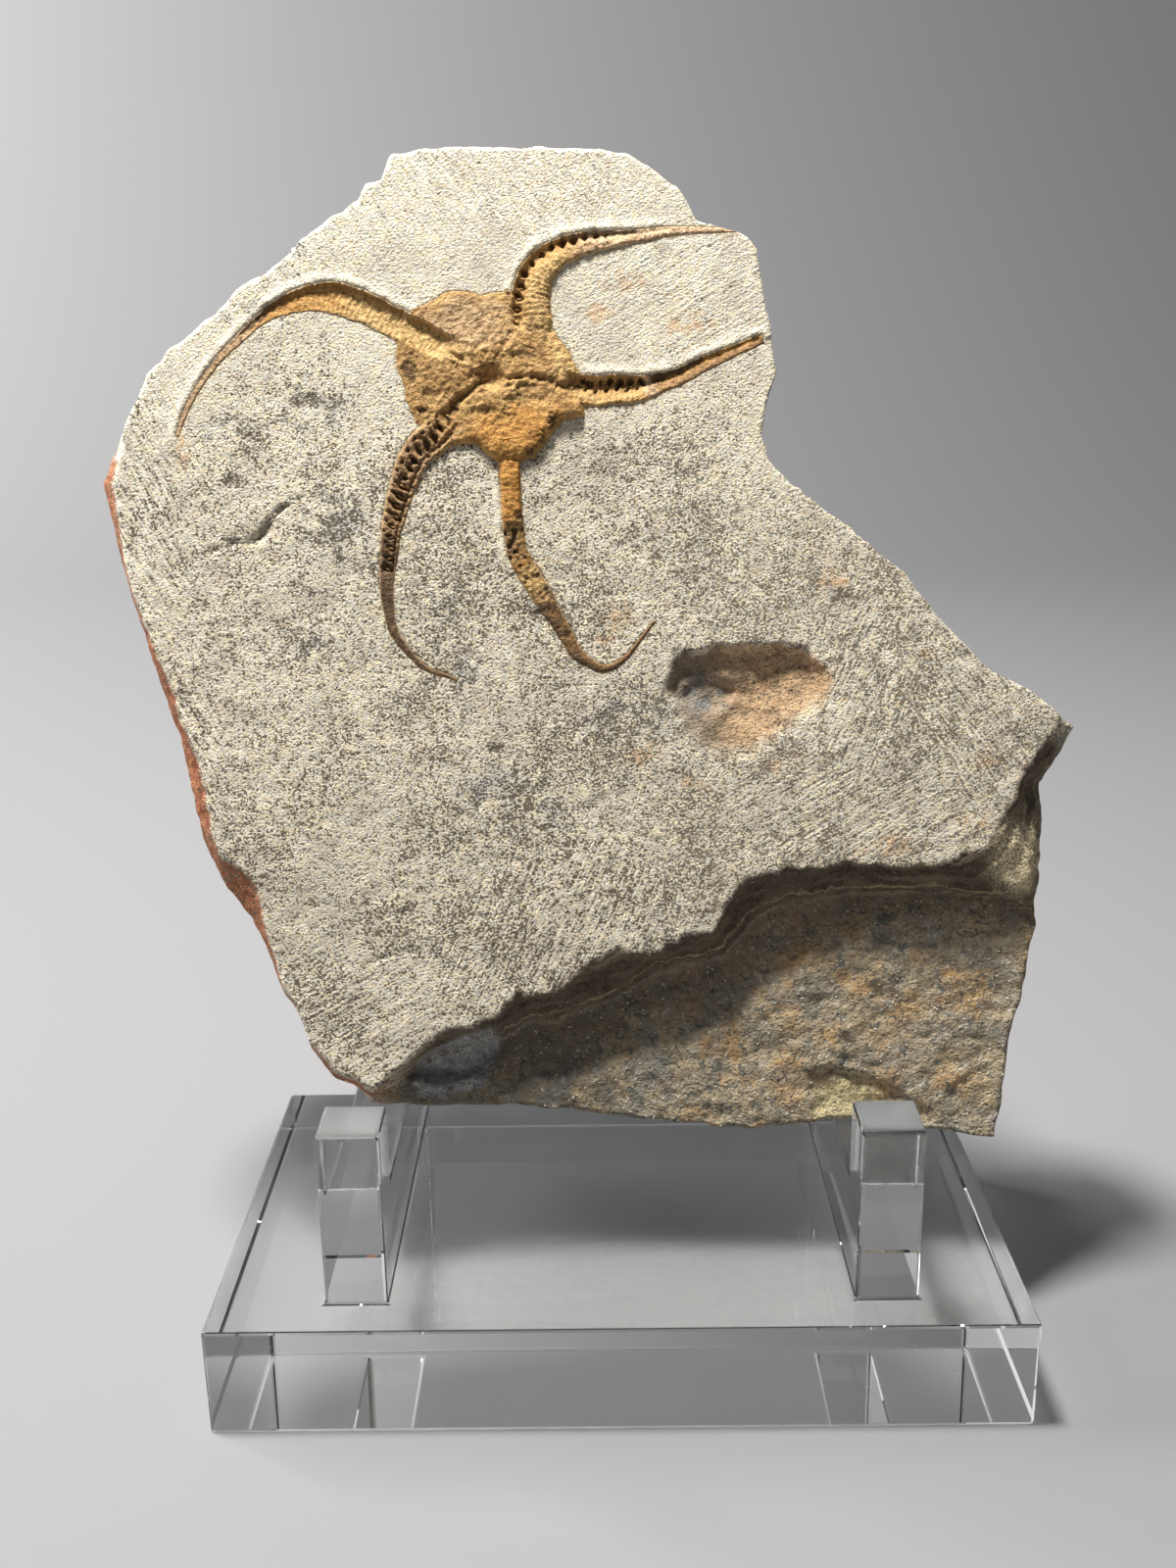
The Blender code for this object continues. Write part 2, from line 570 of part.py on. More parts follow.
def make_star(pose, parts, guides):
    star = disc_mesh("brittle_star", parts)
    star.parent = pose
    for side, arm in ARMS.items():
        shape = cutter(arm_mesh(f"arm_{side}", arm, guides))
        shape.parent = pose
        combine(star, shape, "UNION")
    finish(star, "iron_stained_fossil")


def main():
    clear_scene()
    parts = new_collection("fossil_brittle_star")
    cutters = new_collection("cutters_and_guides")
    pose = bpy.data.objects.new("slab_pose", None)
    pose.location = (0.0, SLAB_FRONT, BASE_THICKNESS + NOTCH_RISE + CLEARANCE)
    pose.rotation_euler.x = math.radians(90.0) - LEAN
    parts.objects.link(pose)
    make_base(parts)
    for side in BRACKET_X:
        make_bracket(side, parts)
    make_slab(pose, parts, cutters)
    make_star(pose, parts, cutters)


main()
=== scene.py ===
# %% [markdown]
# # A fossil brittle star on its stand
#
# A brittle star died on a sandy sea floor and was buried where it lay. The sand turned to stone, and iron
# in the water stained the animal brown. A preparator then brushed the sand away from it. The slab leans in
# the notches of a stand of clear acrylic. This lesson dresses the imported solids: the stone gets its grain,
# its broken ledge and its brush marks, the animal gets its plates and pits, and the stand becomes one clear
# block.
#
# Everything starts from the imported model, and the finished object fills the same box. The finished object
# has to fill the same box.

# %% Load the frame
import math
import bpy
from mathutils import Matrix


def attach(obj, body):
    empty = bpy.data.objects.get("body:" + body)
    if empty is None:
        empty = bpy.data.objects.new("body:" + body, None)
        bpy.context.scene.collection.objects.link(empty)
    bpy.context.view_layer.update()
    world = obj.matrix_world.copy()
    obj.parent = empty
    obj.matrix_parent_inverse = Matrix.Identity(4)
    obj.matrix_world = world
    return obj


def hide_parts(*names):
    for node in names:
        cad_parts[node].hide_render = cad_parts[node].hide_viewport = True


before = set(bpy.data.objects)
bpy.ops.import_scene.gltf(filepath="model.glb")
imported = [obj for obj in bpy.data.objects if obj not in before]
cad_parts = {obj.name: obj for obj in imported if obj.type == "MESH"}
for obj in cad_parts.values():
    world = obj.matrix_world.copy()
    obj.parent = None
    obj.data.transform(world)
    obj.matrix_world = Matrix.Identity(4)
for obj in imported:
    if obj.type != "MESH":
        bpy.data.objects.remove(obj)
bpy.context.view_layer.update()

from types import SimpleNamespace

import bmesh
import bpy
import numpy as np
from mathutils import Matrix, Vector, kdtree, noise
from mathutils.geometry import delaunay_2d_cdt

MM = 0.001


def add_object(name, data):
    """A new object in the scene with this data."""
    made = bpy.data.objects.new(name, data)
    bpy.context.scene.collection.objects.link(made)
    return made


# %% [markdown]
# ## Camera, stage and light
#
# The camera stands a little above the slab and looks down on it, as someone does who bends over a shelf. It
# is given by its place and three small angles, so the view is changed one number at a time.

# %% Camera
CAMERA_PLACE = Vector((-1.995, -190.15, 136.50)) * MM
PITCH, YAW, ROLL = 0.3045, -0.0068, 0.0145  # radians: down, to the left, and tilted
LENS = 34.9


def make_camera():
    forward = Vector((math.sin(YAW) * math.cos(PITCH), math.cos(YAW) * math.cos(PITCH), -math.sin(PITCH)))
    level = Vector((math.cos(YAW), -math.sin(YAW), 0.0))
    down = forward.cross(level)
    right = math.cos(ROLL) * level + math.sin(ROLL) * down
    low = math.cos(ROLL) * down - math.sin(ROLL) * level
    data = bpy.data.cameras.new("camera")
    data.lens = LENS
    data.clip_start = 0.005
    camera = add_object("camera", data)
    turn = Matrix((right, -low, -forward)).transposed()
    camera.matrix_world = Matrix.Translation(CAMERA_PLACE) @ turn.to_4x4()
    bpy.context.scene.camera = camera
    return camera


camera = make_camera()
bpy.context.scene.view_settings.view_transform = "Standard"
print("camera looks from", [round(v / MM) for v in camera.matrix_world.translation], "mm")

# %% [markdown]
# Node trees are easier to read when each node is one short line of code. This small helper adds a node, and
# either links each input or sets its value, depending on what it is given. Shader trees and geometry trees
# both use it.


# %% A helper for node trees
class Wiring:
    def __init__(self, tree):
        self.tree = tree

    def link(self, value, socket):
        self.tree.links.new(value, socket)

    def node(self, kind, inputs=None, **settings):
        made = self.tree.nodes.new(kind)
        for name, value in settings.items():
            setattr(made, name, value)
        for key, value in (inputs or {}).items():
            if isinstance(value, bpy.types.NodeSocket):
                self.link(value, made.inputs[key])
            else:
                made.inputs[key].default_value = value
        return made

    def math(self, operation, a, b=0.0, clamp=False):
        return self.node("ShaderNodeMath", {0: a, 1: b}, operation=operation, use_clamp=clamp).outputs[0]

    def plus(self, a, b, clamp=False):
        return self.math("ADD", a, b, clamp)

    def minus(self, a, b, clamp=False):
        return self.math("SUBTRACT", a, b, clamp)

    def times(self, a, b):
        return self.math("MULTIPLY", a, b)

    def mix(self, share, a, b):
        inputs = {"Factor": share, 6: colour(a), 7: colour(b)}
        return self.node("ShaderNodeMix", inputs, data_type="RGBA").outputs[2]

    def noise(self, vector, size, detail=3.0, roughness=0.55, distortion=0.0):
        inputs = {"Vector": vector, "Scale": 1.0 / size, "Detail": detail, "Roughness": roughness,
                  "Distortion": distortion}
        return self.node("ShaderNodeTexNoise", inputs).outputs["Fac"]

    def cells(self, vector, size):
        return self.node("ShaderNodeTexVoronoi", {"Vector": vector, "Scale": 1.0 / size})

    def rise(self, value, low, high, bottom=0.0, top=1.0):
        """0 below low, 1 above high and smooth between them, or whatever bottom and top say."""
        inputs = {"Value": value, "From Min": low, "From Max": high, "To Min": bottom, "To Max": top}
        return self.node("ShaderNodeMapRange", inputs, interpolation_type="SMOOTHSTEP").outputs[0]

    def attribute(self, name):
        return self.node("ShaderNodeAttribute", attribute_name=name).outputs["Fac"]

    def place(self, vector, turn=(0, 0, 0), scale=(1, 1, 1), move=(0, 0, 0)):
        inputs = {"Vector": vector, "Location": move, "Rotation": turn, "Scale": scale}
        return self.node("ShaderNodeMapping", inputs).outputs[0]


def colour(value):
    return (*value, 1.0) if isinstance(value, tuple) and len(value) == 3 else value


def new_material(name):
    material = bpy.data.materials.new(name)
    material.use_nodes = True
    tree = material.node_tree
    return material, Wiring(tree), tree.nodes["Principled BSDF"]


def new_group(name, inputs, outputs):
    """A shader group. inputs maps a name to its kind and value, outputs a name to its kind."""
    tree = bpy.data.node_groups.new(name, "ShaderNodeTree")
    for label, (kind, value) in inputs.items():
        socket = tree.interface.new_socket(label, in_out="INPUT", socket_type=f"NodeSocket{kind}")
        if value is not None:
            socket.default_value = value
    for label, kind in outputs.items():
        tree.interface.new_socket(label, in_out="OUTPUT", socket_type=f"NodeSocket{kind}")
    wiring = Wiring(tree)
    return tree, wiring, wiring.node("NodeGroupInput").outputs, wiring.node("NodeGroupOutput").inputs


def use_group(wiring, tree, inputs):
    return wiring.node("ShaderNodeGroup", inputs, node_tree=tree).outputs


print("helpers for node trees are ready")

# %% [markdown]
# The stage is a plain pale floor that curves up into a backdrop, so there is no horizon line. One soft lamp
# hangs close over the slab, a little to the left and in front. Its light grazes the stone, which is what
# makes every grain and plate stand out, and it fades towards the foot. A wide lamp on the left lights floor
# and backdrop, but it stands level with the slab, so it doesn't flatten the relief. A dim grey world fills
# the shadows.

# %% Stage
STAGE_WIDTH, STAGE_FRONT, STAGE_BACK, STAGE_TOP = 3.2, -1.6, 1.1, 1.8  # metres
SWEEP_RADIUS = 0.5
STAGE_GAP = 0.00005  # the paper lies just under the acrylic and doesn't touch it
SWEEP_STEPS = 16
FLOOR_COLOUR = (0.255, 0.252, 0.256)


def make_stage():
    profile = [(STAGE_FRONT, -STAGE_GAP)]
    for step in range(SWEEP_STEPS + 1):
        angle = math.radians(90.0) * step / SWEEP_STEPS
        profile.append((STAGE_BACK - SWEEP_RADIUS + SWEEP_RADIUS * math.sin(angle),
                        SWEEP_RADIUS - SWEEP_RADIUS * math.cos(angle) - STAGE_GAP))
    profile.append((STAGE_BACK, STAGE_TOP))
    bm = bmesh.new()
    rows = [[bm.verts.new((x, y, z)) for y, z in profile] for x in (-STAGE_WIDTH / 2, STAGE_WIDTH / 2)]
    for i in range(len(profile) - 1):
        bm.faces.new((rows[0][i], rows[1][i], rows[1][i + 1], rows[0][i + 1]))
    mesh = bpy.data.meshes.new("floor")
    bm.to_mesh(mesh)
    bm.free()
    mesh.shade_smooth()
    floor = add_object("floor", mesh)
    material, _, shader = new_material("pale_paper")
    shader.inputs["Base Color"].default_value = (*FLOOR_COLOUR, 1.0)
    shader.inputs["Roughness"].default_value = 0.9
    mesh.materials.append(material)


make_stage()
print("stage is", STAGE_WIDTH, "m wide")

# %% Light
def add_lamp(name, place, aim, size, power, tint=(1.0, 1.0, 1.0)):
    """A round soft lamp. Place and aim are in mm, power in watts."""
    data = bpy.data.lights.new(name, "AREA")
    data.shape = "DISK"
    data.size = size * MM
    data.energy = power
    data.color = tint
    lamp = add_object(name, data)
    back = (Vector(place) - Vector(aim)).normalized()
    turn = back.to_track_quat("Z", "Y").to_matrix().to_4x4()
    lamp.matrix_world = Matrix.Translation(Vector(place) * MM) @ turn


add_lamp("overhead_lamp", (-112, -22, 615), (0, 0, 80), 100, 6.0, (1.0, 0.985, 0.955))
add_lamp("left_lamp", (-760, 170, 520), (150, 560, 60), 520, 8.5, (0.97, 0.98, 1.0))
add_lamp("backdrop_lamp", (-900, 500, 700), (-300, 1100, 500), 400, 14.0, (1.0, 0.99, 0.97))

world = bpy.data.worlds.new("soft_room")
world.use_nodes = True
world.node_tree.nodes["Background"].inputs["Color"].default_value = (0.72, 0.74, 0.78, 1.0)
world.node_tree.nodes["Background"].inputs["Strength"].default_value = 0.14
bpy.context.scene.world = world

# %% [markdown]
# ## The slab's own frame
#
# A fossil slab is easiest to shape lying flat. All its numbers below are millimetres in the slab's own
# frame: x to the right, y up the slab, and z out of its face, with z = 0 on the lower layer that shows
# under the broken ledge. One matrix then leans the finished points back by 15 degrees into the notches of
# the stand.

# %% The slab's frame
LEAN = math.radians(15.0)
SLAB_FOOT = Vector((0.0, -3.8, 28.7)) * MM  # where the slab's frame begins, in the room
SLAB_POSE = Matrix.Translation(SLAB_FOOT) @ Matrix.Rotation(math.radians(90.0) - LEAN, 4, "X")


def to_room(points):
    """Slab millimetres to metres in the room, for an array of points."""
    return points @ np.array(SLAB_POSE.to_3x3()).T * MM + np.array(SLAB_POSE.translation)


def ripple(points, size, octaves=1, seed=0):
    """Smooth noise, about -1 to 1, at each point. size is the length of a wave in mm, one or by axis."""
    scaled = points / np.array(size, float) + np.array((3.7, 1.9, 7.3)) * seed
    if octaves == 1:
        return np.array([noise.noise(p) for p in scaled.tolist()])
    return np.array([noise.fractal(p, 1.0, 2.0, octaves) for p in scaled.tolist()])


def smooth(value, low, high):
    t = np.clip((value - low) / (high - low), 0.0, 1.0)
    return t * t * (3.0 - 2.0 * t)


def flat(xy):
    return np.column_stack((xy, np.zeros(len(xy))))


def around(xy, middle):
    """Angle and distance of each point, seen from a middle point."""
    away = xy - np.array(middle)
    return np.arctan2(away[:, 1], away[:, 0]), np.hypot(away[:, 0], away[:, 1])


def on_circle(angles, radius):
    """Points on a circle. Noise that is read there comes back to where it began."""
    return np.column_stack((np.cos(angles), np.sin(angles), np.zeros(len(angles)))) * radius


print("the slab's foot stands at", [round(v, 1) for v in SLAB_POSE.translation / MM], "mm")

# %% [markdown]
# ## The animal's outline
#
# The disc is an outline of its own and each arm is a path with a width, so the arms can curl freely. A
# smooth curve goes through the few given points of each path, and the edges get a slight raggedness,
# because the animal breaks off grain by grain and not along a drawn line.

# %% Paths of the arms and edge of the disc
ARMS = {  # x, y and width in mm, from the disc out
    "upper_right": (
        (-11.0, 105.5, 5.4), (-10.1, 108.3, 5.7), (-10.2, 111.5, 5.2), (-9.4, 114.5, 4.7), (-7.4, 116.7, 4.1),
        (-4.3, 118.2, 3.4), (-1.1, 118.8, 2.8), (4.1, 119.4, 1.7), (9.2, 120.0, 1.15), (14.0, 120.0, 0.7),
        (17.4, 120.0, 0.35)),
    "right": (
        (-6.9, 100.2, 4.4), (-2.4, 99.3, 4.2), (1.0, 99.4, 4.0), (4.2, 99.5, 3.5), (7.0, 100.3, 2.6),
        (9.2, 100.9, 2.2), (12.6, 102.6, 1.9), (15.8, 103.9, 1.6), (19.2, 105.3, 1.3), (20.6, 105.8, 1.1)),
    "lower_left": (
        (-19.8, 97.2, 4.6), (-23.0, 93.7, 4.8), (-25.5, 91.3, 4.2), (-27.0, 88.3, 3.8), (-28.1, 84.8, 3.2),
        (-29.0, 81.3, 2.8), (-29.4, 77.8, 2.4), (-29.8, 74.3, 1.9), (-29.6, 71.0, 1.5), (-29.0, 68.0, 1.2),
        (-27.4, 65.5, 0.9), (-25.0, 63.1, 0.7), (-22.0, 61.9, 0.5), (-20.6, 61.3, 0.35)),
    "bottom": (
        (-13.6, 93.0, 2.8), (-13.2, 90.4, 2.9), (-13.1, 87.0, 2.7), (-13.0, 83.7, 2.7), (-12.6, 80.1, 2.8),
        (-12.1, 77.7, 2.9), (-10.5, 74.7, 3.0), (-9.1, 72.4, 2.7), (-7.6, 69.9, 2.2), (-6.1, 67.3, 2.0),
        (-4.7, 64.8, 1.7), (-2.9, 63.4, 1.3), (-1.2, 62.6, 1.0), (0.7, 63.1, 0.8), (2.3, 64.4, 0.6),
        (4.0, 66.5, 0.45), (5.8, 68.8, 0.3)),
    "upper_left": (
        (-19.4, 104.0, 3.9), (-23.7, 106.4, 4.0), (-28.7, 108.9, 4.1), (-32.6, 110.8, 4.3),
        (-36.6, 112.0, 4.1), (-40.5, 111.7, 3.0), (-44.0, 110.4, 2.0), (-46.5, 108.8, 1.4),
        (-48.7, 106.8, 1.2), (-51.2, 104.4, 0.95), (-53.2, 102.0, 0.8), (-55.2, 99.0, 0.7),
        (-56.6, 96.1, 0.6), (-57.3, 94.1, 0.4)),
}
DISC_HUB = np.array((-15.4, 101.2))
DISC_EDGE = (
    (-25.6, 110.2), (-23.2, 111.3), (-21.3, 112.4), (-18.8, 112.7), (-16.4, 112.1), (-12.8, 112.6),
    (-8.2, 111.3), (-7.7, 107.9), (-5.6, 105.4), (-4.3, 102.7), (-3.4, 101.2), (-3.2, 96.0),
    (-6.0, 95.4), (-7.9, 93.1), (-9.7, 90.7), (-11.5, 90.0), (-14.7, 90.1), (-15.7, 90.7),
    (-17.7, 92.6), (-19.4, 92.6), (-21.6, 92.1), (-24.8, 94.3), (-26.5, 97.3), (-26.9, 99.8),
    (-27.9, 102.8), (-27.9, 105.7), (-28.9, 107.0),
)
print("arms:", ", ".join(ARMS))


# %% Smooth curves and closed outlines
PATH_STEP = 0.2  # mm
CURVE_STEPS = 24  # between two of the given points, before the curve is spaced evenly


def smooth_path(route, step=PATH_STEP):
    """Evenly spaced x, y, width along a smooth curve through the given points."""
    knots = np.array(route, float)
    knots = np.vstack((2 * knots[0] - knots[1], knots, 2 * knots[-1] - knots[-2]))
    fine = []
    for a, b, c, d in zip(knots, knots[1:], knots[2:], knots[3:]):
        for t in np.linspace(0.0, 1.0, CURVE_STEPS, endpoint=False):
            fine.append(0.5 * (2 * b + (c - a) * t + (2 * a - 5 * b + 4 * c - d) * t**2
                               + (3 * b - a - 3 * c + d) * t**3))
    fine = np.array(fine + [knots[-2]])
    walked = np.concatenate(([0.0], np.cumsum(np.hypot(*np.diff(fine[:, :2], axis=0).T))))
    stops = np.linspace(0.0, walked[-1], max(2, round(walked[-1] / step)) + 1)
    return np.column_stack([np.interp(stops, walked, fine[:, i]) for i in range(3)])


def polar_reach(outline, hub, angles):
    """Distance from the hub to a closed outline at these angles."""
    turn, far = around(np.array(outline, float), hub)
    order = np.argsort(turn)
    turn, far = turn[order], far[order]
    turn = np.concatenate(([turn[-1] - math.tau], turn, [turn[0] + math.tau]))
    far = np.concatenate(([far[-1]], far, [far[0]]))
    i = np.clip(np.searchsorted(turn, angles, side="right") - 1, 0, len(turn) - 2)
    before, after = angles - turn[i], turn[i + 1] - angles
    both = far[i] * np.sin(before) + far[i + 1] * np.sin(after)
    return far[i] * far[i + 1] * np.sin(before + after) / both


print("a curve gets a point every", PATH_STEP, "mm")


# %% Arms and disc
RAGGED_ARM = 0.10  # of the arm's half width
RAGGED_DISC = 0.22  # mm


class Arm:
    """A path with its walked length, its ragged half width and a search tree for the nearest point of it."""

    def __init__(self, name, number):
        self.name = name
        path = smooth_path(ARMS[name])
        self.places = path[:, :2]
        along = np.gradient(self.places, axis=0)
        self.along = along / np.hypot(*along.T)[:, None]
        self.walked = np.arange(len(path)) * np.hypot(*(self.places[1] - self.places[0]))
        line = np.column_stack((self.walked, np.full(len(path), number * 9.0), np.zeros(len(path))))
        self.left_half = path[:, 2] / 2 * (1.0 + RAGGED_ARM * ripple(line, 1.3, 2, 1))
        self.right_half = path[:, 2] / 2 * (1.0 + RAGGED_ARM * ripple(line, 1.3, 2, 2))
        self.tree = kdtree.KDTree(len(path))
        for i, place in enumerate(self.places):
            self.tree.insert((*place, 0.0), i)
        self.tree.balance()

    def find(self, xy):
        """For each point: how far along and to the left it is, the half width there, and its depth."""
        nearest = np.array([self.tree.find((x, y, 0.0))[1] for x, y in xy.tolist()])
        away = xy - self.places[nearest]
        tangent = self.along[nearest]
        ahead = (away * tangent).sum(1)
        left = away[:, 1] * tangent[:, 0] - away[:, 0] * tangent[:, 1]
        half = np.where(left > 0, self.left_half[nearest], self.right_half[nearest])
        depth = half - np.abs(left)
        beyond = ((nearest == len(self.places) - 1) & (ahead > 0)) | ((nearest == 0) & (ahead < 0))
        depth = np.where(beyond, np.minimum(depth, -np.abs(ahead)), depth)
        return self.walked[nearest] + ahead, left, half, depth

    def outline(self):
        side = np.column_stack((-self.along[:, 1], self.along[:, 0]))
        left = self.places + side * self.left_half[:, None]
        right = self.places - side * self.right_half[:, None]
        return np.vstack((left, right[::-1]))


def disc_reach(angles):
    return polar_reach(DISC_EDGE, DISC_HUB, angles) + RAGGED_DISC * ripple(on_circle(angles, 8.0), 0.8, 3, 3)


def disc_outline(steps=330):
    angles = np.linspace(-math.pi, math.pi, steps, endpoint=False)
    far = disc_reach(angles)
    return DISC_HUB + np.column_stack((far * np.cos(angles), far * np.sin(angles)))


def disc_find(xy):
    """For each point: its angle and distance from the mouth, and how deep inside the disc it is."""
    angles, far = around(xy, DISC_HUB)
    return angles, far, disc_reach(angles) - far


arms = [Arm(name, number) for number, name in enumerate(ARMS)]


def star_depth(xy):
    """How deep inside the animal's outline each point is, in mm; less than nothing outside it."""
    depth = disc_find(xy)[2]
    for arm in arms:
        depth = np.maximum(depth, arm.find(xy)[3])
    return depth


print("arms in mm:", {arm.name: round(arm.walked[-1]) for arm in arms})

# %% [markdown]
# To make one surface of the disc and five arms, their outlines are laid over each other and the whole is
# filled with small triangles by a constrained Delaunay triangulation. It keeps every outline edge and finds
# where they cross. Edges with a triangle on one side only are the animal's rim, which the slab will use as
# well, so the two meet along exactly the same line.


# %% Fill the outline with fine triangles
ROW_GAP = 0.866  # of the spacing, between the rows of a triangular grid


def shuffled_grid(spacing, low, high, seed):
    """Points of a triangular grid, each moved a little, so that no rows show."""
    rows = int((high[1] - low[1]) / (spacing * ROW_GAP))
    columns = int((high[0] - low[0]) / spacing)
    row, column = np.divmod(np.arange(rows * columns), columns)
    grid = np.column_stack((low[0] + (column + 0.5 * (row % 2)) * spacing, low[1] + row * spacing * ROW_GAP))
    return grid + np.random.default_rng(seed).uniform(-0.2, 0.2, grid.shape) * spacing


SAME_POINT = 1e-6  # mm, closer points become one


def fill(points, edges, faces):
    """Triangulates everything inside the faces. Returns points, triangles and where each input point went."""
    flat_points = [Vector(p) for p in points]
    verts, _, triangles, origins, *_ = delaunay_2d_cdt(flat_points, edges, faces, 1, SAME_POINT)
    went = {}
    for i, sources in enumerate(origins):
        for source in sources:
            went[source] = i
    return np.array([tuple(v) for v in verts]), [tuple(t) for t in triangles], went


def rim_edges(triangles):
    """Directed edges that belong to one triangle only."""
    seen = set()
    for a, b, c in triangles:
        seen.update(((a, b), (b, c), (c, a)))
    return [(a, b) for a, b in seen if (b, a) not in seen]


def chain(edges):
    """The longest closed loop in a set of directed edges."""
    following = dict(edges)
    best = []
    while following:
        start, here = next(iter(following.items()))
        loop = [start]
        del following[start]
        while here != start and here in following:
            loop.append(here)
            here = following.pop(here)
        best = max(best, loop, key=len)
    return best


STAR_GRAIN = 0.185  # mm between the points of the animal's surface
STAR_BOX = ((-59.0, 59.5), (22.0, 122.0))


def fill_star():
    outlines = [disc_outline()] + [arm.outline() for arm in arms]
    points, faces = [], []
    for outline in outlines:
        faces.append(list(range(len(points), len(points) + len(outline))))
        points.extend(outline.tolist())
    grid = shuffled_grid(STAR_GRAIN, *STAR_BOX, seed=4)
    grid = grid[star_depth(grid) > 0.6 * STAR_GRAIN]
    return fill(points + grid.tolist(), [], faces)


star_xy, star_triangles, _ = fill_star()
star_rim = chain(rim_edges(star_triangles))
print("animal:", len(star_triangles), "triangles on top,", len(star_rim), "points round the rim")

# %% [markdown]
# ## The slab's shape
#
# Seen from the front the slab has three rims: the edge of the worked face, a thin bed halfway down the
# broken ledge, and the edge of the lower layer. All are outlines round one middle point. A point anywhere
# on the front is between two of them, so its height follows from where it is between them. The sides go on
# down the same profile to the back.

# %% Outlines of the slab
HUB = np.array((0.0, 65.0))
TOP_EDGE = (
    (-65.3, 96.2), (-61.8, 103.2), (-59.1, 106.4), (-55.8, 108.3), (-52.4, 111.4), (-49.1, 114.6),
    (-45.2, 116.5), (-41.2, 120.2), (-36.0, 124.0), (-33.3, 125.5), (-32.0, 127.7), (-30.1, 128.3),
    (-28.7, 131.7), (-22.9, 132.3), (-12.6, 132.4), (-2.2, 132.0), (2.9, 131.3), (6.1, 129.3),
    (9.3, 127.1), (10.6, 125.2), (12.1, 122.6), (15.1, 121.7), (18.9, 120.4), (20.2, 118.7),
    (21.2, 112.9), (22.1, 107.8), (22.9, 102.4), (21.3, 97.6), (21.0, 93.7), (21.9, 90.9),
    (23.2, 89.2), (27.1, 85.9), (32.3, 81.9), (36.8, 78.0), (40.7, 74.7), (43.9, 70.1),
    (47.2, 66.2), (51.7, 61.6), (56.9, 58.9), (61.1, 55.3),
)
LEDGE = (
    (59.6, 54.0), (57.5, 51.0), (54.4, 46.1), (52.3, 42.0), (50.7, 38.6), (45.0, 36.0), (39.1, 35.5),
    (31.5, 36.1), (23.0, 35.3), (16.9, 33.5), (14.3, 29.2), (13.6, 27.5), (9.0, 26.2), (4.4, 24.0),
    (0.1, 24.7), (-3.8, 22.5), (-8.2, 19.1), (-13.6, 18.7), (-16.6, 15.1), (-23.5, 13.8),
    (-28.6, 9.8), (-33.0, 5.7),
)
FACE_LEFT = (
    (-35.0, 7.3), (-38.1, 8.7), (-39.9, 10.6), (-41.6, 13.0), (-43.3, 17.7), (-44.6, 19.6),
    (-46.3, 25.4), (-47.1, 29.3), (-47.9, 33.6), (-49.5, 36.2), (-53.0, 37.9), (-54.1, 42.7),
    (-55.3, 50.5), (-57.1, 54.7), (-58.9, 60.5), (-62.2, 68.9), (-64.6, 75.8), (-66.0, 87.9),
)
THIN_BED = (
    (62.6, 53.9), (61.0, 51.2), (57.4, 46.7), (57.5, 41.0), (57.2, 37.5), (56.6, 31.9), (52.1, 31.2),
    (44.6, 32.4), (39.0, 32.4), (31.6, 32.7), (20.6, 30.7), (18.2, 29.2), (14.6, 24.2), (9.5, 23.0),
    (5.2, 22.2), (2.0, 20.0), (-2.0, 17.5), (-8.0, 15.9), (-12.4, 15.0), (-17.0, 12.2),
    (-24.5, 10.8), (-29.6, 6.8), (-33.4, 4.4),
)
LOWER_EDGE = (
    (63.0, 53.7), (61.6, 51.0), (58.5, 46.5), (58.7, 40.9), (58.5, 37.4), (58.2, 30.9), (57.8, 30.0),
    (58.0, 26.7), (56.8, 22.0), (56.1, 16.9), (54.2, 11.1), (53.1, 2.0), (52.1, -2.6), (48.1, -2.1),
    (41.5, -0.9), (39.4, 0.0), (28.8, 0.0), (25.0, -0.4), (18.6, -1.1), (8.9, 0.0), (2.4, 0.6),
    (-4.1, 1.6), (-14.3, 2.7), (-25.6, 2.7), (-33.6, 3.2),
)
CRUST_LEFT = (
    (-36.5, 5.5), (-38.9, 6.6), (-40.5, 8.1), (-42.1, 10.5), (-43.9, 15.7), (-45.6, 18.0),
    (-47.2, 22.0), (-48.4, 25.5), (-50.1, 28.9), (-52.9, 32.5), (-55.6, 37.3), (-57.2, 42.4),
    (-58.1, 47.7), (-59.6, 54.7), (-61.6, 60.0), (-64.0, 68.3), (-66.3, 76.0), (-67.2, 80.0),
    (-68.9, 88.6), (-67.9, 91.8),
)
MIDDLE_FOOT = (
    (62.0, 53.4), (58.2, 46.5), (58.2, 37.4), (57.5, 26.7), (55.6, 16.9), (53.8, 11.1), (52.6, 3.2),
    (51.4, -0.3), (47.6, 0.2), (41.5, 1.0), (39.6, 1.7), (28.6, 1.7), (24.0, 1.4), (8.9, 1.5),
    (0.0, 1.6), (-14.0, 1.9), (-28.4, 1.7), (-34.8, 1.7),
)
BACK_FOOT = (
    (59.5, 52.6), (56.6, 46.0), (56.4, 30.0), (54.6, 20.0), (52.6, 10.0), (50.2, 4.2), (40.0, 3.5),
    (27.0, 3.5), (10.0, 3.7), (-14.0, 3.6), (-27.0, 3.5), (-33.6, 3.6),
)
FACE_LEVEL, BED_LEVEL, LOWER_LEVEL, MIDDLE_LEVEL, BACK_LEVEL, REAR_LEVEL = 4.5, 2.0, 0.0, -6.0, -12.4, -13.5
FACE, BED, FOOT, LOWER, MIDDLE, BACK, REAR = range(7)  # the rings from the worked face round to the rear


def pulled_in(outline, wear):
    rel = np.array(outline) - HUB
    return [tuple(p) for p in HUB + rel * (1.0 - wear / np.hypot(*rel.T))[:, None]]


def undulation(xy):
    """The low natural waves of the worked face, in mm."""
    return 0.35 * ripple(flat(xy), 24.0)


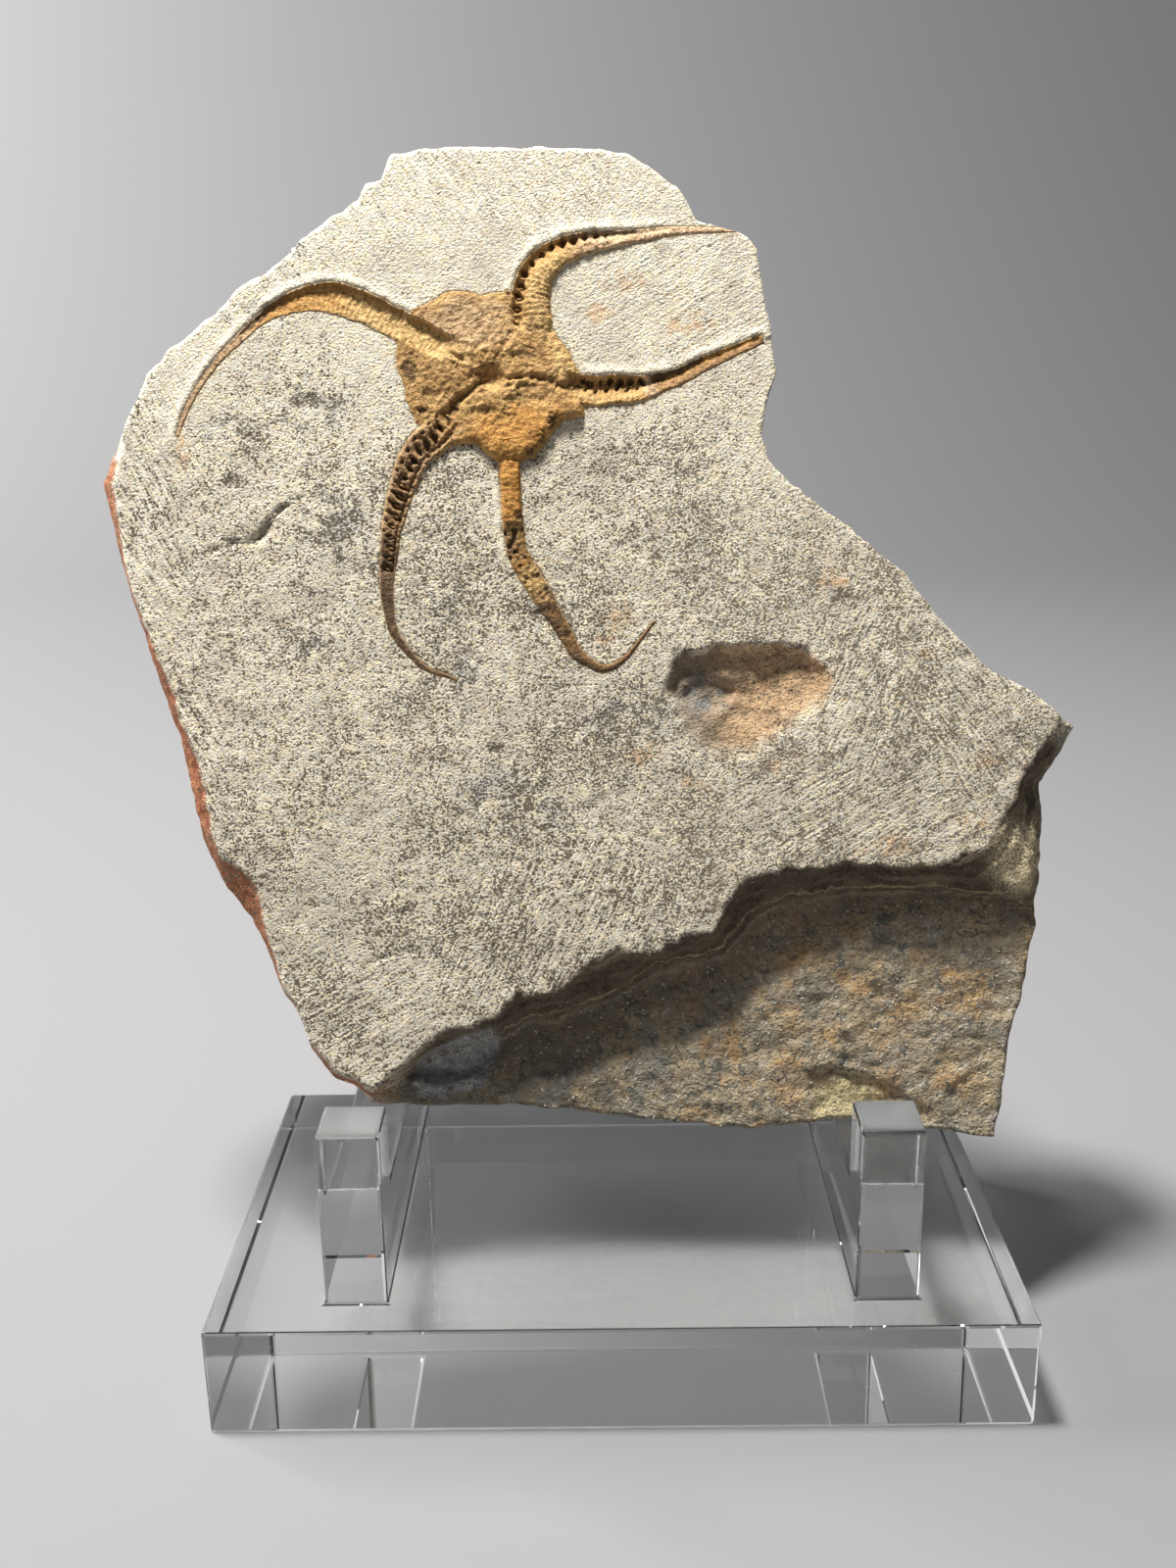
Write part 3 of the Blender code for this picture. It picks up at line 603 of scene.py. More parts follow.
def rings(angles):
    """Radius and height of all seven rings at these angles, as two arrays."""
    def far(*outlines):
        return polar_reach([p for outline in outlines for p in outline], HUB, angles)

    face = far(pulled_in(TOP_EDGE, 1.0), LEDGE, FACE_LEFT)
    bed = far(pulled_in(TOP_EDGE, 0.4), THIN_BED, pulled_in(CRUST_LEFT, 0.8))
    lower = far(TOP_EDGE, LOWER_EDGE, CRUST_LEFT)
    foot = np.minimum(bed + 1.2, lower - 0.4)
    middle = far(pulled_in(TOP_EDGE + CRUST_LEFT, 0.5), MIDDLE_FOOT)
    back = far(pulled_in(TOP_EDGE + CRUST_LEFT, 1.8), BACK_FOOT)
    chipped = np.clip(0.2 + 0.35 * ripple(on_circle(angles, 60.0), 2.4, 4, 33), 0.0, 0.5)
    face, bed, lower = face - chipped, bed - 0.8 * chipped, lower - chipped
    radii = np.array((face, bed, foot, lower, middle, back, back - 1.2))
    edge = HUB + np.column_stack((face * np.cos(angles), face * np.sin(angles)))
    levels = np.array([FACE_LEVEL + undulation(edge)] + [np.full(len(angles), level) for level in (
        BED_LEVEL, LOWER_LEVEL, LOWER_LEVEL, MIDDLE_LEVEL, BACK_LEVEL, REAR_LEVEL)])
    return radii, levels


print("outlines of the slab:", sum(map(len, (TOP_EDGE, LEDGE, FACE_LEFT, THIN_BED, LOWER_EDGE, CRUST_LEFT,
                                              MIDDLE_FOOT, BACK_FOOT))), "points")

# %% [markdown]
# The ledge is where the upper layer broke away. Sandstone breaks along its thin beds, so the slope becomes
# a flight of tiny ragged terraces. Single marks sit on the slab as well: an oval hollow where a nodule
# fell out, a wavy crack, an arch on the lower layer where a flake came off, scratches and small chips.

# %% Single marks on the front
HOLLOW = dict(hub=(18.0, 58.6), depth=1.7, edge=(
    (6.3, 60.6), (7.1, 63.4), (10.0, 65.0), (13.9, 65.7), (18.5, 66.0), (23.0, 66.0), (27.0, 64.9),
    (29.3, 62.5), (29.9, 59.6), (28.9, 57.0), (25.8, 54.4), (22.9, 51.5), (19.0, 49.2), (14.4, 48.8),
    (10.5, 50.7), (7.8, 53.9), (6.4, 57.3)))
PIT = dict(hub=(12.9, 58.4), depth=0.7,
           edge=((8.6, 58.2), (10.6, 61.2), (14.6, 61.6), (17.0, 59.6), (15.2, 56.4), (11.2, 55.6)))
SPALL = dict(hub=(35.0, 1.6), depth=0.9, edge=(
    (25.4, 5.0), (26.3, 6.9), (29.4, 8.0), (33.4, 7.4), (38.6, 4.9), (42.6, 2.4), (45.3, -0.4), (40.0, -3.0),
    (26.0, -3.0)))
FLAKE = dict(hub=(-21.5, 9.6), edge=((-29.5, 6.4), (-27.4, 9.7), (-21.0, 13.3), (-15.9, 14.9), (-15.4, 10.3),
                                    (-18.0, 7.2), (-24.0, 5.6)))  # where a corner of the face broke off
CRACK = ((-54.2, 78.2, 0.2), (-50.7, 80.0, 0.5), (-48.2, 79.8, 0.6), (-46.6, 80.6, 1.1), (-45.4, 82.2, 1.2),
         (-44.2, 83.8, 0.9), (-42.1, 85.3, 0.4), (-40.6, 85.9, 0.2))
DIP = ((-14.0, 10.0, 5.0), (-2.0, 12.5, 8.0), (8.0, 16.5, 9.0), (17.0, 22.0, 8.0), (28.0, 27.0, 5.0))
SCRATCHES = (
    ((-32.3, 23.8, 0.3), (-29.3, 24.7, 0.4), (-25.6, 25.2, 0.2)), ((-35.8, 42.1, 0.2), (-33.6, 41.3, 0.3)),
    ((-20.5, 36.2, 0.2), (-16.0, 37.4, 0.3), (-12.5, 37.1, 0.2)),
    ((2.2, 40.5, 0.2), (6.0, 39.7, 0.4), (9.5, 40.3, 0.2)),
    ((-3.0, 44.6, 0.2), (0.5, 45.6, 0.3), (3.6, 45.2, 0.2)),
)
CHIPS = (  # shallow dark flakes of the face: centre, radii, depth
    ((-46.0, 110.2), (2.6, 1.2), 0.35), ((-41.5, 118.6), (2.8, 0.9), 0.35), ((10.2, 127.4), (3.0, 1.6), 0.5),
    ((-40.0, 98.5), (2.0, 1.2), 0.3), ((-50.0, 88.0), (1.6, 1.0), 0.3), ((-9.0, 70.5), (1.5, 0.8), 0.3),
    ((-28.0, 30.5), (1.6, 0.7), 0.3), ((-15.5, 52.0), (1.4, 0.7), 0.3), ((31.0, 71.5), (1.8, 0.9), 0.3),
)
print("single marks:", len((HOLLOW, PIT, SPALL, FLAKE, CRACK, *SCRATCHES, *CHIPS)))


# %% How deep a mark is at each point
def oval(xy, centre, radii, turn=0.0, ragged=0.0, seed=0):
    """How far out each point is from an oval's middle: 0 there, 1 on its edge."""
    rel = xy - np.array(centre)
    x = rel[:, 0] * math.cos(turn) + rel[:, 1] * math.sin(turn)
    y = rel[:, 1] * math.cos(turn) - rel[:, 0] * math.sin(turn)
    out = np.hypot(x / radii[0], y / radii[1])
    if ragged:
        out = out + ragged * ripple(flat(xy), min(radii) * 0.6, 3, seed)
    return out


def outward(xy, shape, ragged, size, octaves, seed):
    """Angle of each point, and how far out it is from a shape's hub: 0 there, 1 on its ragged edge."""
    angles, far = around(xy, shape["hub"])
    out = far / polar_reach(shape["edge"], np.array(shape["hub"]), angles)
    return angles, out + ragged * ripple(flat(xy), size, octaves, seed)


def bowl(xy, shape, ragged, seed):
    """How deep a hollow is at each point: steep behind its upper edge and gentle up to its lower one."""
    angles, out = outward(xy, shape, ragged, 2.6, 4, seed)
    steep = smooth(np.sin(angles), -0.6, 0.7)
    above, below = 1.0 - smooth(out, 0.78, 1.0), 1.0 - smooth(out, 0.0, 1.0)
    return shape["depth"] * (steep * above + (1.0 - steep) * below)


def within(xy, shape, ragged, seed):
    """1 inside a shape's outline and 0 outside it."""
    return 1.0 - smooth(outward(xy, shape, ragged, 2.0, 3, seed)[1], 0.82, 1.0)


def rusty(xy):
    """1 on the rusty floor of the hollow, with a soft lower edge."""
    angles, out = outward(xy, HOLLOW, 0.10, 3.0, 3, 20)
    upper = smooth(np.sin(angles), -0.5, 0.5)
    return upper * (1.0 - smooth(out, 0.86, 1.04)) + (1.0 - upper) * (1.0 - smooth(out, 0.45, 1.12))


def chips(xy, full, none):
    """For each chip, 1 on the points inside this share of its radius and 0 beyond the other."""
    return [1.0 - smooth(oval(xy, centre, radii, 0.3, 0.45, 150 + number), full, none)
            for number, (centre, radii, _) in enumerate(CHIPS)]


def line_distance(xy, points):
    """Distance to a line of x, y, width points, less its half width there."""
    path = smooth_path(points)
    tree = kdtree.KDTree(len(path))
    for i, place in enumerate(path):
        tree.insert((place[0], place[1], 0.0), i)
    tree.balance()
    found = [tree.find((x, y, 0.0)) for x, y in xy.tolist()]
    return np.array([distance - path[i, 2] / 2 for _, i, distance in found])


hollow_hub = np.array([HOLLOW["hub"]])
print("the hollow is", round(float(bowl(hollow_hub, HOLLOW, 0.0, 0)[0]), 2), "mm deep at its hub")


# %% The lip beside the animal
LIPS = {"upper_left": (1, 0.0, 60.0), "upper_right": (-1, 0.0, 30.0), "right": (-1, 3.0, 40.0),
        "bottom": (1, 3.0, 17.0)}  # side, and from and to how many mm along


def lip_beside_star(xy, depth):
    """1 where the brush left a rounded lip of stone along the animal. It catches the light, and its cream is
    a painted highlight.
    """
    near = (depth < 0.3) & (depth > -3.0)
    lip = np.zeros(len(xy))
    beside = xy[near]
    if len(beside):
        found_lip = np.zeros(len(beside))
        for arm in [a for a in arms if a.name in LIPS]:
            side, first, last = LIPS[arm.name]
            walked, left, _, inside = arm.find(beside)
            strip = smooth(-inside, 0.0, 0.35) * (1.0 - smooth(-inside, 0.5, 1.5))
            active = smooth(walked, first, first + 2.0) * (1.0 - smooth(walked, last - 3.0, last))
            found_lip = np.maximum(found_lip, strip * active * (left * side < 0))
        ragged = 0.5 * ripple(flat(beside), 1.7, 3, 19)
        lip[near] = found_lip * np.clip(0.8 + ragged, 0.0, 1.0)
    return lip


print("arms with a lip:", ", ".join(LIPS))


# %% Heights on the front
LEDGE_ANGLES = (math.radians(-118.0), math.radians(-10.5))


def ledge_profile(xy):
    """Height of the front before its relief, and masks of the broken wall and of the lower layer."""
    angles, far = around(xy, HUB)
    radii = rings(angles)[0]
    on_ledge = smooth(angles, LEDGE_ANGLES[0] - 0.03, LEDGE_ANGLES[0] + 0.05) * (
        1.0 - smooth(angles, LEDGE_ANGLES[1] - 0.05, LEDGE_ANGLES[1]))
    jag = 0.55 * ripple(flat(xy), 3.2, 4, 6) + 0.35 * ripple(flat(xy), 1.1, 2, 7)
    far = far + jag * on_ledge * smooth(radii[LOWER] - far, 0.2, 2.0)
    face_level = FACE_LEVEL + undulation(xy)
    down = np.clip((far - radii[FACE]) / (radii[BED] - radii[FACE]), 0.0, 1.0)
    height = face_level + (BED_LEVEL - face_level) * down
    below = np.clip((far - radii[BED]) / np.maximum(radii[FOOT] - radii[BED], 0.05), 0.0, 1.0)
    height = np.where(far > radii[BED], BED_LEVEL * (1.0 - below), height)
    wall = smooth(far - radii[FACE], -0.15, 0.25) * (1.0 - smooth(far - radii[FOOT], -0.2, 0.9)) * on_ledge
    lower = smooth(far - radii[FOOT], -0.4, 0.8) * on_ledge
    return height, wall, lower


def stone_relief(xy, height, wall, lower, worked):
    """Adds the thin beds of the ledge, the lumps of the lower layer and the fine grain of the worked face."""
    flat_xy = flat(xy)
    # The slope is pulled towards a few levels, which wander a little.
    wander = 1.1 * ripple(flat_xy, 9.0, 2, 8)
    beds = 0.16 * np.sin(height * math.tau / 0.95 + wander * 3.0)
    rough = 0.22 * ripple(flat_xy, 1.6, 4, 9)
    height = height + wall * (beds + rough)
    lumps = 0.38 * ripple(flat_xy, 7.0, 4, 10) + 0.30 * ripple(flat_xy, (2.6, 1.7, 1.0), 3, 11)
    height = height + lower * lumps
    dip = 1.0 - smooth(line_distance(xy, DIP), -2.0, 3.0)
    height = height - 0.9 * lower * dip
    grains = 0.06 * ripple(flat_xy, 1.1, 2, 12) + 0.12 * ripple(flat_xy, 4.0, 4, 13)
    return height + worked * grains * (1.0 - 0.5 * smooth(xy[:, 1], 80.0, 105.0))


def cut_marks(xy, height, lower):
    """Cuts the single marks into the stone. Also says where the crack and the scratches are."""
    flat_xy = flat(xy)
    hollow = bowl(xy, HOLLOW, 0.06, 14) + bowl(xy, PIT, 0.12, 15)
    height = height - hollow * (1.0 + 0.25 * ripple(flat_xy, 2.2, 4, 16))
    height = height - bowl(xy, SPALL, 0.05, 17) * (lower > 0.5)
    broken_off = within(xy, FLAKE, 0.08, 26)
    height = height - broken_off * (0.35 + 0.20 * np.clip(14.5 - xy[:, 1], 0.0, 8.0))
    crack = line_distance(xy, CRACK)
    cut_in = 1.0 - smooth(crack + 0.35 * ripple(flat_xy, 1.2, 3, 18), -0.45, 0.15)
    height = height - 0.55 * cut_in + 0.25 * (1.0 - smooth(np.hypot(*(xy - (-47.5, 83.2)).T), 0.5, 3.2))
    for line in SCRATCHES:
        scratch = 1.0 - smooth(line_distance(xy, line), -0.2, 0.2)
        height = height - 0.22 * scratch
        cut_in = np.maximum(cut_in, 0.55 * scratch)
    for chip, (_, _, deep) in zip(chips(xy, 0.55, 1.0), CHIPS):
        height = height - 0.5 * deep * chip
    return height, cut_in


def front_height(xy, depth):
    """Height of the slab's front, and masks of the wall, the lower layer, the rusty floor and the crack."""
    height, wall, lower = ledge_profile(xy)
    worked = 1.0 - np.clip(wall + lower, 0.0, 1.0)
    height = stone_relief(xy, height, wall, lower, worked)
    height, cut_in = cut_marks(xy, height, lower)
    height = height + 0.22 * lip_beside_star(xy, depth) * worked
    return height, wall, lower, rusty(xy), cut_in


print("the ledge runs over", round(math.degrees(LEDGE_ANGLES[1] - LEDGE_ANGLES[0])), "degrees of the front")

# %% [markdown]
# Points are spent where they show. The worked face gets one every half millimetre, the strip beside the
# animal gets four times as many, and under the animal only a few are needed, because the stone there is
# sunk out of sight.

# %% Fill the front of the slab
FACE_GRAIN, RIM_GRAIN, HIDDEN_GRAIN, EDGE_STEP = 0.5, 0.26, 1.1, 0.5  # mm
SHEET_EDGE = (  # degrees, and the ring at which the front sheet ends there
    (-180.0, 1), (-121.3, 1), (-118.8, 3), (-10.6, 3), (-9.0, 0), (155.0, 0), (160.5, 1), (180.0, 1))
EDGE_SAMPLES = 6000  # angles at which the edge is measured before it is spaced evenly
SHEET_BOX = ((-70.0, -4.0), (65.0, 134.0))
SHEET_PARTS = (  # spacing, box, seed, and from and to how many mm outside the animal
    (FACE_GRAIN, SHEET_BOX, 1, 0.9, math.inf), (RIM_GRAIN, STAR_BOX, 2, -0.45, 0.9),
    (HIDDEN_GRAIN, STAR_BOX, 3, -math.inf, -0.45))
SIDE_ROWS = 17


def ring_between(angles, share):
    """Radius and height between the rings: share 0 is the first ring, 1 the second and so on."""
    radii, levels = rings(angles)
    i = np.minimum(share.astype(int), REAR - 1)
    t, at = share - i, np.arange(len(angles))
    return (radii[i, at] * (1 - t) + radii[i + 1, at] * t), (levels[i, at] * (1 - t) + levels[i + 1, at] * t)


def sheet_share(angles):
    degrees, ring = np.array(SHEET_EDGE).T
    return np.interp(np.degrees(angles), degrees, ring)


def sheet_edge():
    """Angles that put a point every EDGE_STEP along the front sheet's edge."""
    angles = np.linspace(-math.pi, math.pi, EDGE_SAMPLES)
    far, level = ring_between(angles, sheet_share(angles))
    places = np.column_stack((far * np.cos(angles), far * np.sin(angles), level))
    walked = np.concatenate(([0.0], np.cumsum(np.sqrt((np.diff(places, axis=0) ** 2).sum(1)))))
    return np.interp(np.arange(0.0, walked[-1] - 0.3 * EDGE_STEP, EDGE_STEP), walked, angles)


def fill_front():
    angles = sheet_edge()
    far, _ = ring_between(angles, sheet_share(angles))
    edge = HUB + np.column_stack((far * np.cos(angles), far * np.sin(angles)))
    rim = star_xy[star_rim]
    points = [edge, rim]
    for spacing, box, seed, least, most in SHEET_PARTS:
        grid = shuffled_grid(spacing, *box, seed)
        turn, out = around(grid, HUB)
        grid = grid[out < ring_between(turn, sheet_share(turn))[0] - 0.6 * spacing]
        outside_star = -star_depth(grid)
        keep = (outside_star >= least) & (outside_star < most) & (np.abs(outside_star) > 0.5 * RIM_GRAIN)
        points.append(grid[keep])
    count = len(edge)
    rim_loop = [(count + i, count + (i + 1) % len(rim)) for i in range(len(rim))]
    places, triangles, went = fill(np.vstack(points).tolist(), rim_loop, [list(range(count))])
    on_edge = [went[i] for i in range(count)]
    on_rim = {went[count + i] for i in range(len(rim))}
    return angles, places, triangles, on_edge, on_rim


edge_angles, front_xy, front_triangles, on_edge, on_rim = fill_front()
print("front sheet:", len(front_triangles), "triangles,", len(on_edge), "points round it")

# %% [markdown]
# The sides are columns of points, one below each point of the front's edge, so front and sides share their
# edge and the slab stays closed. The side of a broken slab shows its thin beds too, as ridges that run all
# the way round. The roughness only ever cuts into the stone, so the slab keeps its outline and doesn't grow
# into the stand.

# %% Sides and back
BACK_GRAIN = 2.2  # mm
SUNK = 1.6  # mm, how far the stone lies lower under the animal


def side_columns():
    """Place and height of each side point, row by row from just below the front's edge to the rear."""
    radii, levels = rings(edge_angles)
    share = sheet_share(edge_angles)
    start_far, start_level = ring_between(edge_angles, share)
    far = np.empty((SIDE_ROWS, len(edge_angles)))
    level = np.empty_like(far)
    for i in range(len(edge_angles)):
        after = range(int(share[i]) + 1, REAR + 1)
        knots_far = np.array([start_far[i]] + [radii[k, i] for k in after])
        knots_level = np.array([start_level[i]] + [levels[k, i] for k in after])
        walked = np.concatenate(([0.0], np.cumsum(np.hypot(np.diff(knots_far), np.diff(knots_level)))))
        stops = np.linspace(0.0, walked[-1], SIDE_ROWS + 1)[1:]
        far[:, i] = np.interp(stops, walked, knots_far)
        level[:, i] = np.interp(stops, walked, knots_level)
    return far, level


def side_points():
    far, level = side_columns()
    angles = np.tile(edge_angles, SIDE_ROWS)
    far, level = far.ravel(), level.ravel()
    places = np.column_stack((HUB[0] + far * np.cos(angles), HUB[1] + far * np.sin(angles), level))
    lumps = 0.55 * ripple(places, (6.0, 6.0, 3.5), 4, 21)
    beds = 0.22 * np.sin(level * math.tau / 1.6 + 4.0 * ripple(places, (14.0, 14.0, 30.0), 2, 22))
    cut = np.clip(0.35 + lumps + beds, 0.0, 1.4)
    cut *= smooth(np.repeat(np.arange(SIDE_ROWS), len(edge_angles)), -1.0, 2.5)
    rear = smooth(level, BACK_LEVEL, REAR_LEVEL)
    places[:, :2] -= np.column_stack((np.cos(angles), np.sin(angles))) * (cut * (1.0 - 0.5 * rear))[:, None]
    return places


def back_points(rear_xy):
    """Points inside the rear ring, and the triangles that close the back."""
    grid = shuffled_grid(BACK_GRAIN, *SHEET_BOX, seed=5)
    turn, out = around(grid, HUB)
    grid = grid[out < rings(turn)[0][REAR] - 1.2 * BACK_GRAIN]
    count = len(rear_xy)
    places, triangles, went = fill(np.vstack((rear_xy, grid)).tolist(), [], [list(range(count))])
    return places, triangles, [went[i] for i in range(count)]


def back_height(xy):
    coarse, fine = ripple(flat(xy), 16.0, 4, 31), ripple(flat(xy), 3.0, 3, 32)
    return REAR_LEVEL + 0.75 * np.abs(coarse) + 0.25 * np.abs(fine)


def build_slab():
    depth = star_depth(front_xy)
    height, wall, lower, hollow, crack = front_height(front_xy, depth)
    sunk = smooth(depth, 0.05, 0.28)
    sunk[list(on_rim)] = 0.0
    height = height - SUNK * sunk
    front = np.column_stack((front_xy, height))
    sides = side_points()
    count = len(edge_angles)
    rear = sides[-count:]
    back_xy, back_triangles, on_rear = back_points(rear[:, :2])
    back = np.column_stack((back_xy, back_height(back_xy)))
    back[on_rear] = rear
    points = np.vstack((front, sides, back))
    first_side, first_back = len(front), len(front) + len(sides)
    faces = list(front_triangles)
    above = on_edge
    for row in range(SIDE_ROWS):
        below = [first_side + row * count + i for i in range(count)]
        if row == SIDE_ROWS - 1:
            below = [first_back + i for i in on_rear]
        for i in range(count):
            j = (i + 1) % count
            faces.append((above[i], below[i], below[j], above[j]))
        above = below
    faces += [(first_back + a, first_back + c, first_back + b) for a, b, c in back_triangles]
    masks = {"wall": wall, "lower": lower, "hollow": hollow, "beside": -depth, "crack": crack}
    masks["lip"] = lip_beside_star(front_xy, depth)
    masks["chip"] = np.max(chips(front_xy, 0.5, 1.05), axis=0)
    return points, faces, masks


slab_points, slab_faces, slab_masks = build_slab()
print("slab:", len(slab_points), "points and", len(slab_faces), "faces")

# %% [markdown]
# ## The animal's surface
#
# The disc and two arms stand a little above the stone, and the other arms are grooves where the plates came
# away. Along each arm the relief repeats with the plates: a cross-section says how high the arm is from its
# left edge to its right one, and rows of pits are cut into it at an even pitch. The same numbers also give
# the masks for the stain and for the painted shade that darkens the pits.

# %% Relief of the arms
ACROSS = (-1.0, -0.8, -0.5, -0.2, 0.0, 0.2, 0.5, 0.8, 1.0)  # from the left of someone who walks outward
SECTIONS = {  # heights in mm over the slab's face at each place across a full-width arm
    "upper_right": (0.05, -0.35, -0.35, 0.10, 0.35, 0.48, 0.55, 0.50, 0.15),
    "right": (0.05, -0.85, -1.10, -0.90, -0.50, -0.25, 0.10, 0.30, 0.10),
    "lower_left": (0.25, 0.45, 0.35, 0.30, 0.30, 0.30, 0.40, 0.45, 0.12),
    "bottom": (0.45, 0.95, 1.05, 1.10, 1.10, 1.05, 0.95, 0.80, 0.25),
    "upper_left": (0.05, -0.08, -0.25, -0.42, -0.56, -0.68, -0.74, -0.40, 0.05),
}
ALONG = {"bottom": ((0.0, 10.6, 12.0, 15.5, 18.0, 30.0), (1.0, 1.0, 0.35, 0.4, 0.6, 0.35)),
         "lower_left": ((0.0, 20.0, 26.0, 50.0), (1.0, 0.9, 0.4, 0.3)),
         "right": ((0.0, 12.0, 20.0, 40.0), (1.0, 0.9, 0.6, 0.4))}
PIT_PITCH = 1.36  # mm, the length of one plate
PIT_ROWS = (  # arm, place across, pitch, first and last mm along, half length, half width, depth
    ("upper_right", -0.62, PIT_PITCH, 1.0, 19.5, 0.46, 0.74, 0.72),
    ("right", -0.60, PIT_PITCH, 2.0, 11.5, 0.44, 0.55, 0.50),
    ("right", -0.05, PIT_PITCH, 2.6, 11.0, 0.30, 0.40, 0.40),
    ("lower_left", -0.02, PIT_PITCH, 0.8, 24.0, 0.50, 0.95, 0.72),
    ("lower_left", 0.62, PIT_PITCH, 0.2, 20.0, 0.30, 0.34, 0.40),
    ("lower_left", -0.80, PIT_PITCH, 0.5, 20.0, 0.28, 0.30, 0.30),
)
FULL_HALF = 2.25  # mm, half width at which an arm has its full relief


def pit_mask(walked, across, half, row):
    """Slanted rhombic pits of uneven size in a row along the arm."""
    _, place, pitch, first, last, half_long, half_wide, _ = row
    aside = (across - place) * half
    walked = walked + 0.3 * aside
    number = np.round((walked - first) / pitch)
    size = 1.0 + 0.25 * np.sin(number * 5.3 + place * 31.0)
    drift = (number + 0.10 * np.sin(number * 13.0 + place * 7.0)) * pitch
    ahead = np.abs(walked - first - drift) / (half_long * size)
    aside = np.abs(aside - 0.15 * np.sin(number * 4.1)) / (half_wide * size * np.minimum(1.0, half / 1.6))
    rhomb = (ahead**1.3 + aside**1.3) ** (1 / 1.3)
    active = smooth(walked, first - 0.9, first) * (1.0 - smooth(walked, last, last + 1.5))
    return (1.0 - smooth(rhomb, 0.62, 1.15)) * active


def arm_relief(arm, xy):
    """Height over the face, a mask of dark pits, and where each point is on the arm."""
    walked, left, half, depth = arm.find(xy)
    across = np.clip(-left / half, -1.2, 1.2)
    strength = np.clip(half / FULL_HALF, 0.0, 1.0)
    height = np.interp(across, ACROSS, SECTIONS[arm.name]) * strength
    height = height * np.interp(walked, *ALONG.get(arm.name, ((0.0, 1.0), (1.0, 1.0))))
    bent = 0.16 * ripple(flat(xy), 0.9, 2, 44)
    pits = np.zeros(len(xy))
    for row in PIT_ROWS:
        if row[0] == arm.name:
            mask = pit_mask(walked + bent, across + 0.08 * ripple(flat(xy), 1.1, 2, 46), half, row)
            height = height - mask * row[7] * np.clip(half / 1.8, 0.3, 1.0)
            pits = np.maximum(pits, mask)
    ribs = np.cos(walked * math.tau / 0.72 + 1.5 * across**2 + 6.0 * bent)
    height = height + 0.05 * ribs * strength * (1.0 - smooth(walked, 22.0, 34.0))
    return dict(walked=walked, across=across, half=half, depth=depth, height=height, pits=pits, ribs=ribs)


print("pit rows:", len(PIT_ROWS))

# %% Relief of the disc
DISC_RISE = ((0.0, -0.7), (0.08, -0.45), (0.17, 0.3), (0.32, 0.50), (0.6, 0.40), (0.86, 0.45), (1.0, 0.25))
DISC_GROOVES = (  # depth, and x, y and width along the groove, all in mm
    (0.60, ((-16.4, 101.0, 0.7), (-19.3, 98.6, 1.3), (-20.8, 97.0, 1.5), (-22.2, 95.6, 1.4))),
    (0.60, ((-13.5, 100.9, 0.5), (-10.0, 101.2, 0.7), (-6.2, 99.9, 1.2), (-3.4, 98.9, 1.2),
            (-1.4, 99.5, 1.0))),
    (0.60, ((-27.9, 107.9, 0.8), (-24.4, 106.9, 0.8), (-21.8, 105.4, 0.7), (-19.3, 103.6, 0.5))),
    (0.45, ((-14.6, 104.0, 0.4), (-13.6, 105.2, 0.6), (-13.0, 107.0, 0.9))),
)
GOLDEN_BAND = ((-32.6, 110.2, 2.6), (-29.1, 108.6, 2.6), (-25.9, 106.9, 2.2), (-22.0, 104.9, 1.7),
               (-18.6, 103.1, 0.9))
DARK_SPOTS = (  # centre, radii and strength
    ((-9.4, 108.0), (1.6, 0.8), 1.0), ((-26.4, 102.3), (1.3, 1.6), 0.6), ((-24.4, 97.0), (0.7, 0.5), 0.8),
    ((-7.3, 95.0), (0.6, 1.3), 0.8), ((-8.4, 92.3), (0.8, 1.4), 0.9), ((-10.4, 90.9), (0.9, 0.7), 0.8),
    ((-13.0, 90.0), (1.0, 0.5), 0.5), ((-10.6, 103.9), (1.6, 0.7), 0.4), ((-22.8, 99.2), (2.4, 0.6), 0.4),
    ((-11.0, 98.2), (2.6, 0.5), 0.4), ((-16.0, 96.8), (2.0, 0.5), 0.35),
)


def disc_relief(xy):
    angles, far, depth = disc_find(xy)
    share = np.clip(far / (far + depth), 0.0, 1.0)
    height = np.interp(share, *zip(*DISC_RISE))
    lower_right = smooth(np.cos(angles + math.radians(55.0)), -0.1, 0.9)
    height = height + (0.55 * lower_right - 0.2 * (1 - lower_right)) * smooth(share, 0.45, 0.85)
    dark = np.zeros(len(xy))
    ragged = ripple(flat(xy), 1.3, 3, 47)
    for deep, line in DISC_GROOVES:
        inside = 1.0 - smooth(line_distance(xy, line) + 0.45 * ragged, -0.6, 0.35)
        height = height - deep * inside
        # Painted shade: the grooves are painted dark.
        dark = np.maximum(dark, 0.7 * inside)
    band = line_distance(xy, GOLDEN_BAND) + 0.2 * ragged
    gold = 1.0 - smooth(band, -0.5, 0.3)
    ridges = np.cos(np.clip(band + 1.1, -1.1, 1.1) * math.tau / 1.1)
    height = height + gold * (0.15 + 0.16 * ridges)
    # Painted shade in the troughs between the golden ridges.
    dark = np.maximum(dark, 0.45 * gold * smooth(-ridges, 0.2, 0.9))
    for number, (centre, radii, strength) in enumerate(DARK_SPOTS):
        spot = strength * (1.0 - smooth(oval(xy, centre, radii, 0.0, 0.7, 60 + number), 0.4, 1.4))
        height = height - 0.4 * spot
        dark = np.maximum(dark, spot)
    petals = np.abs(ripple(flat(xy), 1.5, 4, 41))
    near_mouth = 1.0 - smooth(share, 0.25, 0.75)
    height = height + (0.16 - 0.40 * petals) * (0.22 + 0.78 * near_mouth)
    # Painted shade where the petals around the mouth sink.
    dark = np.maximum(dark, smooth(petals, 0.38, 0.85) * (0.28 + 0.45 * near_mouth))
    return dict(angles=angles, share=share, depth=depth, height=height, dark=dark, gold=gold)


print("disc grooves:", len(DISC_GROOVES), "and dark spots:", len(DARK_SPOTS))
